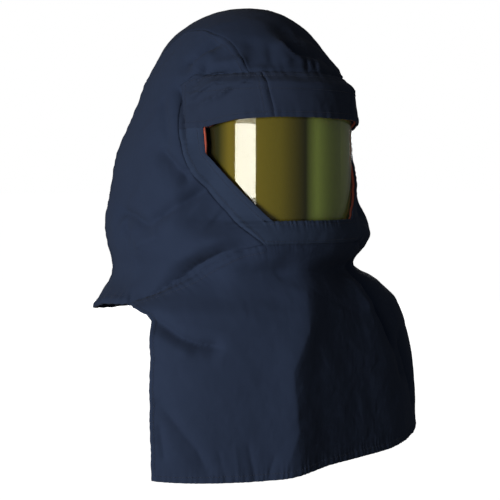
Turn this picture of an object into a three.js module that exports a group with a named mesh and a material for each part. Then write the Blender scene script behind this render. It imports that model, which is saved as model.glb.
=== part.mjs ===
import * as THREE from 'three';

// Arc flash hood, worn upright. Front is -Y, the wearer's left is +X, up is +Z.
// The origin is the top of the hollow, where the crown rests on the head.

// Driving sizes in millimetres: the whole hood, its brow ring and its cloth.
const HOOD_HEIGHT = 570;
const BROW_HALF_WIDTH = 119.5;
const BROW_HALF_LENGTH = 150;
const BROW_DEPTH = 0.1702 * HOOD_HEIGHT;
const CROWN_RADIUS = 1.237 * BROW_DEPTH;
const CLOTH = 2.5;
const JOIN_GAP = 0.3;

// Face shield, a bent sheet whose front stands a little ahead of the brow.
const SHIELD_RADIUS = 0.92 * BROW_HALF_WIDTH;
const SHIELD_AHEAD = 1.0933 * BROW_HALF_LENGTH - SHIELD_RADIUS;
const SHIELD_THICKNESS = 2.5;
const SHIELD_TOP = 0.2053 * HOOD_HEIGHT;
const SHIELD_BOTTOM = 0.5105 * HOOD_HEIGHT;
const SHIELD_HALF_ANGLE = 78;

// Coloured cord along the edge of the window.
const PIPING_RADIUS = 1.5;

// Rings of the body below the brow. depth: share of the hood's height from the top.
// side, lean: shares of the brow's half width. front, back: shares of its half length.
// frontPower, backPower: how square each half of the ring is, 2 being an ellipse.
const RINGS = [
  { depth: 0.170, side: 1.000, front: 1.033, back: 0.987, lean: 0.00, frontPower: 2.0, backPower: 2.2 },
  { depth: 0.224, side: 1.080, front: 1.067, back: 1.067, lean: 0.00, frontPower: 2.0, backPower: 2.3 },
  { depth: 0.268, side: 1.138, front: 1.100, back: 1.133, lean: -0.01, frontPower: 2.0, backPower: 2.4 },
  { depth: 0.355, side: 1.240, front: 1.113, back: 1.233, lean: -0.04, frontPower: 2.0, backPower: 2.5 },
  { depth: 0.425, side: 1.310, front: 1.140, back: 1.260, lean: -0.03, frontPower: 2.0, backPower: 2.5 },
  { depth: 0.501, side: 1.410, front: 1.180, back: 1.260, lean: 0.00, frontPower: 2.0, backPower: 2.5 },
  { depth: 0.548, side: 1.355, front: 1.107, back: 1.240, lean: -0.03, frontPower: 2.1, backPower: 2.5 },
  { depth: 0.589, side: 1.285, front: 0.973, back: 1.187, lean: -0.05, frontPower: 2.2, backPower: 2.5 },
  { depth: 0.633, side: 1.460, front: 1.120, back: 1.107, lean: 0.04, frontPower: 2.2, backPower: 2.5 },
  { depth: 0.671, side: 1.630, front: 1.213, back: 1.067, lean: 0.04, frontPower: 2.3, backPower: 2.5 },
  { depth: 0.727, side: 1.770, front: 1.267, back: 1.067, lean: 0.03, frontPower: 2.3, backPower: 2.6 },
  { depth: 0.857, side: 1.900, front: 1.307, back: 1.100, lean: 0.03, frontPower: 2.3, backPower: 2.6 },
  { depth: 1.000, side: 1.910, front: 1.320, back: 1.100, lean: 0.03, frontPower: 2.3, backPower: 2.6 },
];

// Crown above the brow: share of the brow's depth from the top, the ring's size against
// a true dome, and its lean as a share of the brow's half width.
const CROWN_SHAPE = [
  { depth: 0.00, size: 1.000, lean: 0.000 },
  { depth: 0.25, size: 0.955, lean: -0.030 },
  { depth: 0.60, size: 0.960, lean: -0.010 },
  { depth: 0.85, size: 0.985, lean: 0.010 },
  { depth: 1.00, size: 1.000, lean: 0.000 },
];

// How far the cloth of the face stands off the shield, as a share of the brow's half width.
const STAND_OFF = [
  { depth: 0.170, off: -0.0502 },
  { depth: 0.195, off: 0.0134 },
  { depth: 0.267, off: 0.0460 },
  { depth: 0.351, off: 0.0335 },
  { depth: 0.481, off: 0.0293 },
  { depth: 0.530, off: 0.1004 },
];

// The face form fades into the body's rings between these azimuths and depths. The
// cloth over the shield's ends keeps clear of them, out to a later fade.
const FACE_FADE = { from: 44, to: 64 };
const END_FADE = { from: 60, to: 84 };
const END_START = { from: 0.090, to: 0.195 };
const END_CLEARANCE = 2.2;
const END_SOFTNESS = 3;
const CLEAR_MARGIN = 6;
const FACE_START = { from: 0.170, to: 0.195 };
const FACE_END = { from: 0.466, to: 0.530 };

// Folds of the cloth: a path of azimuths and depths, with its half width and its lift,
// outwards positive, as shares of the brow's half width.
const FOLDS = [
  { width: 0.085, lift: -0.042, path: [[-60, 0.188], [-53, 0.153]] },
  { width: 0.100, lift: -0.033, path: [[-68, 0.144], [-50, 0.102]] },
  { width: 0.065, lift: -0.025, path: [[-61, 0.229], [-45, 0.202]] },
  { width: 0.060, lift: -0.021, path: [[-41, 0.219], [-31, 0.197]] },
  { width: 0.075, lift: -0.030, path: [[-74, 0.198], [-67, 0.243], [-61, 0.310]] },
  { width: 0.125, lift: -0.038, path: [[-80, 0.326], [-60, 0.391]] },
  {
    width: 0.120,
    lift: -0.042,
    path: [[-103, 0.473], [-89, 0.478], [-75, 0.495], [-60, 0.445], [-50, 0.414]],
  },
  { width: 0.130, lift: -0.055, path: [[-83, 0.656], [-58, 0.597], [-41, 0.548], [-33, 0.535]] },
  { width: 0.095, lift: -0.044, path: [[-66, 0.685], [-54, 0.717], [-44, 0.731]] },
  { width: 0.090, lift: -0.025, path: [[-59, 0.845], [-55, 0.872], [-45, 0.967]] },
  { width: 0.210, lift: 0.055, path: [[-4, 0.590], [-11, 0.665], [-17, 0.775], [-17, 1.020]] },
  { width: 0.460, lift: -0.060, path: [[15, 0.710], [15, 0.930]] },
  { width: 0.400, lift: -0.030, path: [[-40, 0.700], [-40, 0.980]] },
  {
    width: 0.100,
    lift: -0.055,
    path: [[36, 0.590], [31, 0.640], [30, 0.683], [33, 0.724], [36, 0.763], [38, 0.820]],
  },
  { width: 0.085, lift: -0.038, path: [[40, 0.745], [44, 0.830], [48, 0.898]] },
  { width: 0.140, lift: -0.055, path: [[-4, 0.072], [2, 0.112], [14, 0.132]] },
  { width: 0.260, lift: -0.042, path: [[12, 0.070], [34, 0.115]] },
  { width: 0.135, lift: -0.042, path: [[84, 0.658], [56, 0.604], [34, 0.542]] },
  { width: 0.125, lift: -0.038, path: [[104, 0.470], [76, 0.500], [56, 0.440]] },
  { width: 0.110, lift: -0.033, path: [[70, 0.150], [52, 0.105]] },
  { width: 0.085, lift: -0.033, path: [[60, 0.188], [54, 0.153]] },
  { width: 0.080, lift: -0.029, path: [[72, 0.200], [63, 0.305]] },
  { width: 0.160, lift: 0.042, path: [[160, 0.520], [146, 0.690]] },
  { width: 0.150, lift: 0.038, path: [[-166, 0.560], [-152, 0.700]] },
];

// Columns of the lattice round the hood, counted from the front centre to the back centre.
const FRONT_COLUMNS = 10;
const SIDE_COLUMNS = 14;
const HALF_COLUMNS = 2 * FRONT_COLUMNS + SIDE_COLUMNS;
const BAND_SEAM_COLUMN = 4;
const WINDOW_COLUMN = 8;
const BORDER_COLUMN = 10;
const BIB_COLUMNS = 24;
const GUSSET_COLUMNS = 5;
const GUSSET_SEAM_COLUMN = HALF_COLUMNS - GUSSET_COLUMNS;

// Rows of the lattice from the brow down to the collar seam.
const LEDGE_ROW = 1;
const WINDOW_TOP_ROW = 4;
const UPRIGHT_ROW = 6;
const WINDOW_BOTTOM_ROW = 13;
const COLLAR_ROW = 16;
const BIB_ROWS = 16;

// Spans of rows and columns over which one spacing of the lattice turns into another:
// the window's top curve, the side's even rows and the bib's even columns.
const CURVE_ROWS = 2;
const EVEN_COLUMNS = 6;
const SPREAD_ROWS = 9.6;
const EDGE_POWER = 3;

// Half width of the crown's centre gusset on the crown lattice, from front (-1) to back (1).
const GUSSET_WIDTHS = [
  { along: -1.00, share: 0.495 },
  { along: -0.84, share: 0.435 },
  { along: -0.68, share: 0.400 },
  { along: -0.46, share: 0.455 },
  { along: -0.25, share: 0.535 },
  { along: 0.05, share: 0.580 },
  { along: 0.45, share: 0.640 },
  { along: 1.00, share: 0.860 },
];
const CORNER_TURN = 15;

// Azimuths of the main columns at the main rows, in degrees from the front.
const COLUMN_PATHS = [
  { row: 0, bandSeam: 24.0, windowSide: 48.0, borderSide: 60.0, bibSide: 120, gussetSeam: 128 },
  { row: 1, bandSeam: 23.0, windowSide: 49.5, borderSide: 72.0, bibSide: 119, gussetSeam: 128 },
  { row: 4, bandSeam: 20.0, windowSide: 52.0, borderSide: 66.0, bibSide: 116, gussetSeam: 127 },
  { row: 6, bandSeam: 20.0, windowSide: 50.6, borderSide: 60.5, bibSide: 113, gussetSeam: 126 },
  { row: 8, bandSeam: 17.0, windowSide: 42.2, borderSide: 57.5, bibSide: 109, gussetSeam: 124 },
  { row: 13, bandSeam: 9.0, windowSide: 21.1, borderSide: 36.5, bibSide: 97, gussetSeam: 120 },
  { row: 16, bandSeam: 8.5, windowSide: 19.5, borderSide: 23.8, bibSide: 84, gussetSeam: 118 },
];

// Depths of the main rows across the face, as shares of the hood's height.
const ROW_DEPTHS = [
  { row: 0, depth: 0.1702 },
  { row: 1, depth: 0.1930 },
  { row: 4, depth: 0.2675 },
  { row: 6, depth: 0.3409 },
  { row: 13, depth: 0.4814 },
  { row: 16, depth: 0.5304 },
];

// Window's top edge, by column: how much lower it runs than at the front centre.
const WINDOW_TOP_DROP = [
  { column: 4, drop: 0.0 },
  { column: 6, drop: 0.0045 },
  { column: 8, drop: 0.0192 },
  { column: 10, drop: 0.0210 },
];

// Collar seam and shoulder hem, from the border's corner round to the tail at the back.
const COLLAR = [
  { azimuth: 23.8, depth: 0.5304 },
  { azimuth: 34, depth: 0.5433 },
  { azimuth: 54.7, depth: 0.5990 },
  { azimuth: 84, depth: 0.6610 },
  { azimuth: 100, depth: 0.6690 },
  { azimuth: 118, depth: 0.6930 },
  { azimuth: 135, depth: 0.7053 },
  { azimuth: 150, depth: 0.7088 },
  { azimuth: 180, depth: 0.7350 },
];

// Side edge of the bib: along the shoulder hem, round the corner and down to the hem.
const BIB_EDGE = [
  { row: 0, azimuth: 84.0, depth: 0.6610 },
  { row: 1, azimuth: 75.0, depth: 0.6680 },
  { row: 2, azimuth: 69.3, depth: 0.6755 },
  { row: 3, azimuth: 67.0, depth: 0.6880 },
  { row: 4, azimuth: 64.9, depth: 0.7130 },
  { row: 6, azimuth: 62.9, depth: 0.7600 },
  { row: 9, azimuth: 62.0, depth: 0.8320 },
  { row: 16, azimuth: 60.8, depth: 1.0000 },
];

// Bottom hem of the bib, by share of its width from the wearer's right (-1) to the left (1).
const HEM = [
  { share: -1.0, depth: 0.9950 },
  { share: -0.5, depth: 0.9930 },
  { share: 0.0, depth: 0.9790 },
  { share: 0.4, depth: 0.9790 },
  { share: 0.7, depth: 0.9710 },
  { share: 1.0, depth: 0.9660 },
];

const DEGREE = Math.PI / 180;

// Value of a table's column at a key, straight between its rows.
function lookUp(table, key, at, column) {
  const last = table.length - 1;
  if (at <= table[0][key]) return table[0][column];
  for (let i = 0; i < last; i += 1) {
    const low = table[i];
    const high = table[i + 1];
    if (at <= high[key]) {
      return low[column] + (high[column] - low[column]) * (at - low[key]) / (high[key] - low[key]);
    }
  }
  return table[last][column];
}

// Value of a table's column at a key, by a smooth curve that never overshoots its rows.
function lookUpSmooth(table, key, at, column) {
  const last = table.length - 1;
  if (at <= table[0][key]) return table[0][column];
  if (at >= table[last][key]) return table[last][column];
  let i = 0;
  while (at > table[i + 1][key]) i += 1;
  const slope = (n) => {
    const run = table[n + 1][key] - table[n][key];
    return (table[n + 1][column] - table[n][column]) / run;
  };
  const tangent = (n) => {
    if (n === 0) return slope(0);
    if (n === last) return slope(last - 1);
    const before = slope(n - 1);
    const after = slope(n);
    return before * after <= 0 ? 0 : 2 * before * after / (before + after);
  };
  const span = table[i + 1][key] - table[i][key];
  const t = (at - table[i][key]) / span;
  const t2 = t * t;
  const t3 = t2 * t;
  return (2 * t3 - 3 * t2 + 1) * table[i][column]
    + (t3 - 2 * t2 + t) * span * tangent(i)
    + (3 * t2 - 2 * t3) * table[i + 1][column]
    + (t3 - t2) * span * tangent(i + 1);
}

// Step that rises smoothly from 0 to 1 between two values.
function rise(value, from, to) {
  const t = Math.min(1, Math.max(0, (value - from) / (to - from)));
  return t * t * (3 - 2 * t);
}

// Radius of the body's ring at an azimuth and a share of the height.
function ringRadius(azimuth, share) {
  const ring = (column) => lookUpSmooth(RINGS, 'depth', share, column);
  const ahead = Math.cos(azimuth) > 0;
  const side = ring('side') * BROW_HALF_WIDTH;
  const end = ring(ahead ? 'front' : 'back') * BROW_HALF_LENGTH;
  const power = ring(ahead ? 'frontPower' : 'backPower');
  const across = Math.abs(Math.sin(azimuth)) / side;
  const along = Math.abs(Math.cos(azimuth)) / end;
  return (across ** power + along ** power) ** (-1 / power);
}

// Radius from the hood's axis to a cylinder of cloth that stands off round the shield.
function faceRadius(azimuth, off) {
  const radius = SHIELD_RADIUS + JOIN_GAP + CLOTH + off;
  const sideways = SHIELD_AHEAD * Math.sin(azimuth);
  const forward = Math.sqrt(Math.max(0, radius * radius - sideways * sideways));
  return SHIELD_AHEAD * Math.cos(azimuth) + forward;
}

// Outer face of the hood before its folds, at an azimuth and a depth.
function formPoint(azimuth, depth) {
  const share = Math.max(depth, BROW_DEPTH) / HOOD_HEIGHT;
  let radius = ringRadius(azimuth, share);
  if (depth < BROW_DEPTH) {
    const fall = 1 - depth / CROWN_RADIUS;
    const browFall = 1 - BROW_DEPTH / CROWN_RADIUS;
    radius *= Math.sqrt((1 - fall * fall) / (1 - browFall * browFall));
    radius *= lookUpSmooth(CROWN_SHAPE, 'depth', depth / BROW_DEPTH, 'size');
  }
  const turn = Math.abs(azimuth) / DEGREE;
  const begun = rise(share, FACE_START.from, FACE_START.to);
  const level = begun * (1 - rise(share, FACE_END.from, FACE_END.to));
  const face = level * (1 - rise(turn, FACE_FADE.from, FACE_FADE.to));
  const standOff = lookUp(STAND_OFF, 'depth', share, 'off') * BROW_HALF_WIDTH;
  radius += (faceRadius(azimuth, standOff) - radius) * face;
  const short = faceRadius(azimuth, END_CLEARANCE) - radius;
  const ends = rise(depth / HOOD_HEIGHT, END_START.from, END_START.to)
    * (1 - rise(share, FACE_END.from, FACE_END.to))
    * rise(turn, FACE_FADE.from, END_FADE.from)
    * (1 - rise(turn, END_FADE.from, END_FADE.to));
  radius += ends * (short + Math.hypot(short, END_SOFTNESS)) / 2;
  const lean = BROW_HALF_WIDTH * (1 - face) * (depth < BROW_DEPTH
    ? lookUpSmooth(CROWN_SHAPE, 'depth', depth / BROW_DEPTH, 'lean')
    : lookUpSmooth(RINGS, 'depth', share, 'lean'));
  return new THREE.Vector3(
    radius * Math.sin(azimuth) + lean,
    -radius * Math.cos(azimuth),
    CLOTH - depth,
  );
}

const FOLD_PATHS = FOLDS.map((fold) => {
  const stops = fold.path.map(([azimuth, depth]) => formPoint(azimuth * DEGREE, depth * HOOD_HEIGHT));
  return {
    lines: stops.slice(1).map((stop, i) => new THREE.Line3(stops[i], stop)),
    width: fold.width * BROW_HALF_WIDTH,
    lift: fold.lift * BROW_HALF_WIDTH,
  };
});

// Outer face of the hood with its folds, at an azimuth and a depth.
function shellPoint(azimuth, depth) {
  const point = formPoint(azimuth, depth);
  const height = Math.max(0, point.z + CROWN_RADIUS);
  const outward = new THREE.Vector3(point.x, point.y, height).normalize();
  const nearest = new THREE.Vector3();
  let lift = 0;
  for (const fold of FOLD_PATHS) {
    const distances = fold.lines.map((line) => {
      line.closestPointToPoint(point, true, nearest);
      return nearest.distanceTo(point);
    });
    const away = Math.min(...distances) / fold.width;
    lift += fold.lift * Math.exp(-away * away);
  }
  point.addScaledVector(outward, lift);
  return keepClear(point, depth);
}

// Point of the cloth moved outwards where a fold would press it into the shield.
function keepClear(point, depth) {
  const ahead = -point.y - SHIELD_AHEAD;
  const turn = Math.atan2(Math.abs(point.x), ahead) / DEGREE;
  const reach = Math.hypot(point.x, ahead);
  const least = SHIELD_RADIUS + JOIN_GAP + CLOTH + END_CLEARANCE;
  const covers = turn < SHIELD_HALF_ANGLE + CLEAR_MARGIN
    && depth > SHIELD_TOP - 2 * CLOTH && depth < SHIELD_BOTTOM + 2 * CLOTH;
  if (covers && reach < least) {
    point.x *= least / reach;
    point.y = -SHIELD_AHEAD - ahead * least / reach;
  }
  return point;
}

// Place across the crown lattice of a column, counted from its middle.
function acrossCrown(column, along) {
  const seam = lookUpSmooth(GUSSET_WIDTHS, 'along', along, 'share');
  const count = Math.abs(column);
  const share = count <= GUSSET_COLUMNS
    ? seam * count / GUSSET_COLUMNS
    : seam + (1 - seam) * (count - GUSSET_COLUMNS) / (FRONT_COLUMNS - GUSSET_COLUMNS);
  return Math.sign(column) * share;
}

// Azimuth and share of the crown's radius of a place on the square crown lattice.
function crownPlace(across, along) {
  const x = across * Math.sqrt(1 - along * along / 2);
  const y = along * Math.sqrt(1 - across * across / 2);
  const turn = Math.atan2(x, -y);
  return { azimuth: turn + CORNER_TURN * DEGREE * Math.sin(2 * turn), reach: Math.hypot(x, y) };
}

// Azimuth of a column on the brow ring, where the crown lattice meets the body.
function browAzimuth(column) {
  if (column <= FRONT_COLUMNS) return crownPlace(acrossCrown(column, -1), -1).azimuth;
  if (column <= FRONT_COLUMNS + SIDE_COLUMNS) {
    return crownPlace(1, 2 * (column - FRONT_COLUMNS) / SIDE_COLUMNS - 1).azimuth;
  }
  return crownPlace(acrossCrown(HALF_COLUMNS - column, 1), 1).azimuth;
}

// Azimuth of a column read straight between the main columns at a row.
function pathAzimuth(column, row) {
  const path = (name) => lookUp(COLUMN_PATHS, 'row', row, name);
  const stops = [
    { column: 0, azimuth: 0 },
    { column: BAND_SEAM_COLUMN, azimuth: path('bandSeam') },
    { column: WINDOW_COLUMN, azimuth: path('windowSide') },
    { column: BORDER_COLUMN, azimuth: path('borderSide') },
    { column: BIB_COLUMNS, azimuth: path('bibSide') },
    { column: GUSSET_SEAM_COLUMN, azimuth: path('gussetSeam') },
    { column: HALF_COLUMNS, azimuth: 180 },
  ];
  return lookUp(stops, 'column', column, 'azimuth') * DEGREE;
}

// Azimuth of a column at a row; the brow row keeps the crown lattice's own spacing.
function bodyAzimuth(column, row) {
  const early = 1 - rise(row, 0, WINDOW_TOP_ROW);
  return pathAzimuth(column, row) + early * (browAzimuth(column) - pathAzimuth(column, 0));
}

// Depth of the collar seam and shoulder hem at a column.
function collarDepth(column) {
  const azimuth = pathAzimuth(column, COLLAR_ROW) / DEGREE;
  return lookUp(COLLAR, 'azimuth', azimuth, 'depth') * HOOD_HEIGHT;
}

// Depth of a row at a column, set by the window at the front and even at the sides.
function bodyDepth(column, row) {
  const drop = lookUp(WINDOW_TOP_DROP, 'column', column, 'drop')
    * rise(row, LEDGE_ROW, WINDOW_TOP_ROW)
    * (1 - rise(row, WINDOW_TOP_ROW, WINDOW_TOP_ROW + CURVE_ROWS));
  const front = (lookUp(ROW_DEPTHS, 'row', row, 'depth') + drop) * HOOD_HEIGHT;
  if (column <= BORDER_COLUMN) return front;
  const frontBottom = lookUp(ROW_DEPTHS, 'row', COLLAR_ROW, 'depth') * HOOD_HEIGHT;
  const frontShare = (front - BROW_DEPTH) / (frontBottom - BROW_DEPTH);
  const even = rise(column, BORDER_COLUMN, BORDER_COLUMN + EVEN_COLUMNS);
  const share = frontShare + (row / COLLAR_ROW - frontShare) * even;
  return BROW_DEPTH + (collarDepth(column) - BROW_DEPTH) * share;
}

// Azimuth and depth of a place on the bib, by column, row and side (-1 right, 1 left).
function bibPlace(column, row, side) {
  const out = column / BIB_COLUMNS;
  const edgeAzimuth = lookUp(BIB_EDGE, 'row', row, 'azimuth') * DEGREE;
  const edgeDepth = lookUp(BIB_EDGE, 'row', row, 'depth') * HOOD_HEIGHT;
  const top = collarDepth(column);
  const edgeTop = collarDepth(BIB_COLUMNS);
  const edgeShare = (edgeDepth - edgeTop) / (HOOD_HEIGHT - edgeTop);
  const hem = lookUpSmooth(HEM, 'share', side * out, 'depth') * HOOD_HEIGHT;
  const share = row / BIB_ROWS + (edgeShare - row / BIB_ROWS) * out ** EDGE_POWER;
  const topSpacing = pathAzimuth(column, COLLAR_ROW) / pathAzimuth(BIB_COLUMNS, COLLAR_ROW);
  const spacing = topSpacing + (out - topSpacing) * rise(row, 0, SPREAD_ROWS);
  return { azimuth: edgeAzimuth * spacing, depth: top + (hem - top) * share };
}

// The lattice: points of the outer face, and four-sided cells that name their piece.
const points = [];
const cells = [];

function addPoint(azimuth, depth) {
  points.push(shellPoint(azimuth, depth));
  return points.length - 1;
}

function addCell(piece, a, b, c, d) {
  cells.push({ piece, corners: [a, b, c, d] });
}

// Rings of the body, each from the back centre by the wearer's right to the left.
const bodyRows = [];
for (let row = 0; row <= COLLAR_ROW; row += 1) {
  const ring = new Map();
  for (let column = 1 - HALF_COLUMNS; column <= HALF_COLUMNS; column += 1) {
    const count = Math.abs(column);
    const side = Math.sign(column);
    ring.set(column, addPoint(side * bodyAzimuth(count, row), bodyDepth(count, row)));
  }
  ring.set(-HALF_COLUMNS, ring.get(HALF_COLUMNS));
  bodyRows.push(ring);
}

// Name of the piece that covers a cell of the body.
function bodyPiece(column, row) {
  const middle = Math.abs(column + 0.5);
  const hand = column + 0.5 < 0 ? 'right' : 'left';
  if (middle > GUSSET_SEAM_COLUMN) return 'centre_gusset';
  if (middle > BORDER_COLUMN) return `side_panel_${hand}`;
  if (row < WINDOW_TOP_ROW) return middle < BAND_SEAM_COLUMN ? 'brow_band_front' : `brow_band_${hand}`;
  return middle < WINDOW_COLUMN && row < WINDOW_BOTTOM_ROW ? 'window' : 'window_border';
}

for (let row = 0; row < COLLAR_ROW; row += 1) {
  const upper = bodyRows[row];
  const lower = bodyRows[row + 1];
  for (let column = -HALF_COLUMNS; column < HALF_COLUMNS; column += 1) {
    addCell(
      bodyPiece(column, row),
      lower.get(column),
      lower.get(column + 1),
      upper.get(column + 1),
      upper.get(column),
    );
  }
}

// Crown, a square lattice bent into a dome that ends on the brow ring.
const crownReach = Math.acos(1 - BROW_DEPTH / CROWN_RADIUS);
const brow = bodyRows[0];
const crownRows = [];
for (let row = 0; row <= SIDE_COLUMNS; row += 1) {
  const along = 2 * row / SIDE_COLUMNS - 1;
  const line = new Map();
  for (let column = -FRONT_COLUMNS; column <= FRONT_COLUMNS; column += 1) {
    const side = column < 0 ? -1 : 1;
    if (row === 0) {
      line.set(column, brow.get(column));
    } else if (row === SIDE_COLUMNS) {
      line.set(column, brow.get(side * (HALF_COLUMNS - Math.abs(column))));
    } else if (Math.abs(column) === FRONT_COLUMNS) {
      line.set(column, brow.get(side * (FRONT_COLUMNS + row)));
    } else {
      const place = crownPlace(acrossCrown(column, along), along);
      const depth = CROWN_RADIUS * (1 - Math.cos(place.reach * crownReach));
      line.set(column, addPoint(place.azimuth, depth));
    }
  }
  crownRows.push(line);
}
for (let row = 0; row < SIDE_COLUMNS; row += 1) {
  const near = crownRows[row];
  const far = crownRows[row + 1];
  for (let column = -FRONT_COLUMNS; column < FRONT_COLUMNS; column += 1) {
    const hand = column + 0.5 < 0 ? 'right' : 'left';
    const piece = Math.abs(column + 0.5) < GUSSET_COLUMNS ? 'centre_gusset' : `side_panel_${hand}`;
    addCell(piece, near.get(column), near.get(column + 1), far.get(column + 1), far.get(column));
  }
}

// Bib, hung from the collar seam.
const bibRows = [bodyRows[COLLAR_ROW]];
for (let row = 1; row <= BIB_ROWS; row += 1) {
  const line = new Map();
  for (let column = -BIB_COLUMNS; column <= BIB_COLUMNS; column += 1) {
    const side = Math.sign(column);
    const place = bibPlace(Math.abs(column), row, side);
    line.set(column, addPoint(side * place.azimuth, place.depth));
  }
  bibRows.push(line);
}
for (let row = 0; row < BIB_ROWS; row += 1) {
  const upper = bibRows[row];
  const lower = bibRows[row + 1];
  for (let column = -BIB_COLUMNS; column < BIB_COLUMNS; column += 1) {
    addCell(
      'chest_bib',
      lower.get(column),
      lower.get(column + 1),
      upper.get(column + 1),
      upper.get(column),
    );
  }
}

// Outward directions of the lattice's points, shared by the pieces that meet there.
const normals = points.map(() => new THREE.Vector3());
for (const cell of cells) {
  const [a, b, c, d] = cell.corners.map((corner) => points[corner]);
  const facing = c.clone().sub(a).cross(d.clone().sub(b));
  for (const corner of cell.corners) normals[corner].add(facing);
}
for (const normal of normals) normal.normalize();

// Edges on the rim of a piece, each with the piece on its left.
function rimEdges(pieceCells) {
  const edges = new Map();
  for (const cell of pieceCells) {
    cell.corners.forEach((from, i) => {
      const to = cell.corners[(i + 1) % 4];
      if (edges.has(`${to}>${from}`)) {
        edges.delete(`${to}>${from}`);
      } else {
        edges.set(`${from}>${to}`, { from, to });
      }
    });
  }
  return [...edges.values()];
}

// Move of each rim point that brings the whole rim inwards by a distance.
function insetMoves(edges, distance) {
  const sums = new Map();
  for (const { from, to } of edges) {
    const run = points[to].clone().sub(points[from]);
    for (const end of [from, to]) {
      const inward = normals[end].clone().cross(run).normalize();
      if (!sums.has(end)) sums.set(end, []);
      sums.get(end).push(inward);
    }
  }
  const moves = new Map();
  for (const [end, inwards] of sums) {
    const sum = inwards.reduce((total, inward) => total.add(inward), new THREE.Vector3());
    const square = sum.lengthSq();
    moves.set(end, sum.multiplyScalar(distance * inwards.length / Math.max(square, 1)));
  }
  return moves;
}

// Mesh from corner positions and triangles of their numbers.
function meshFrom(name, corners, triangles, material) {
  const geometry = new THREE.BufferGeometry();
  const numbers = corners.flatMap((corner) => corner.toArray());
  geometry.setAttribute('position', new THREE.Float32BufferAttribute(numbers, 3));
  geometry.setIndex(triangles);
  geometry.computeVertexNormals();
  const mesh = new THREE.Mesh(geometry, material);
  mesh.name = name;
  return mesh;
}

// Closed wall of cloth over the cells of one piece.
function clothPiece(name, material) {
  const pieceCells = cells.filter((cell) => cell.piece === name);
  const edges = rimEdges(pieceCells);
  const moves = insetMoves(edges, JOIN_GAP / 2);
  const outer = new Map();
  const corners = [];
  const inner = (point) => outer.get(point) + 1;
  for (const point of new Set(pieceCells.flatMap((cell) => cell.corners))) {
    const place = points[point].clone();
    if (moves.has(point)) place.add(moves.get(point));
    outer.set(point, corners.length);
    corners.push(place, place.clone().addScaledVector(normals[point], -CLOTH));
  }
  const triangles = [];
  for (const cell of pieceCells) {
    const [a, b, c, d] = cell.corners;
    const halves = points[a].distanceTo(points[c]) <= points[b].distanceTo(points[d])
      ? [[a, b, c], [a, c, d]]
      : [[a, b, d], [b, c, d]];
    for (const [p, q, r] of halves) {
      triangles.push(outer.get(p), outer.get(q), outer.get(r));
      triangles.push(inner(r), inner(q), inner(p));
    }
  }
  for (const { from, to } of edges) {
    const split = from < to
      ? [outer.get(to), outer.get(from), inner(from), outer.get(to), inner(from), inner(to)]
      : [outer.get(to), outer.get(from), inner(to), outer.get(from), inner(from), inner(to)];
    triangles.push(...split);
  }
  return meshFrom(name, corners, triangles, material);
}

// Bent sheet of the shield with square edges.
const SHIELD_COLUMNS = 30;
const SHIELD_ROWS = 3;

function faceShield(material) {
  const corners = [];
  for (let row = 0; row <= SHIELD_ROWS; row += 1) {
    const depth = SHIELD_BOTTOM + (SHIELD_TOP - SHIELD_BOTTOM) * row / SHIELD_ROWS;
    for (let column = 0; column <= SHIELD_COLUMNS; column += 1) {
      const turn = SHIELD_HALF_ANGLE * DEGREE * (2 * column / SHIELD_COLUMNS - 1);
      for (const radius of [SHIELD_RADIUS, SHIELD_RADIUS - SHIELD_THICKNESS]) {
        corners.push(new THREE.Vector3(
          radius * Math.sin(turn),
          -SHIELD_AHEAD - radius * Math.cos(turn),
          CLOTH - depth,
        ));
      }
    }
  }
  const at = (row, column, face) => 2 * (row * (SHIELD_COLUMNS + 1) + column) + face;
  const triangles = [];
  const quad = (a, b, c, d) => triangles.push(a, b, c, a, c, d);
  for (let row = 0; row < SHIELD_ROWS; row += 1) {
    for (let column = 0; column < SHIELD_COLUMNS; column += 1) {
      const corner = (face) => [
        at(row, column, face),
        at(row, column + 1, face),
        at(row + 1, column + 1, face),
        at(row + 1, column, face),
      ];
      quad(...corner(0));
      quad(...corner(1).reverse());
    }
    quad(at(row, 0, 1), at(row, 0, 0), at(row + 1, 0, 0), at(row + 1, 0, 1));
    const last = SHIELD_COLUMNS;
    quad(at(row, last, 0), at(row, last, 1), at(row + 1, last, 1), at(row + 1, last, 0));
  }
  for (let column = 0; column < SHIELD_COLUMNS; column += 1) {
    quad(at(0, column, 1), at(0, column + 1, 1), at(0, column + 1, 0), at(0, column, 0));
    const top = SHIELD_ROWS;
    quad(at(top, column, 0), at(top, column + 1, 0), at(top, column + 1, 1), at(top, column, 1));
  }
  return meshFrom('face_shield', corners, triangles, material);
}

// Round cord along the window's edge: in the opening at its upright sides, else behind the cloth.
const CORD_SIDES = 6;

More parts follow.
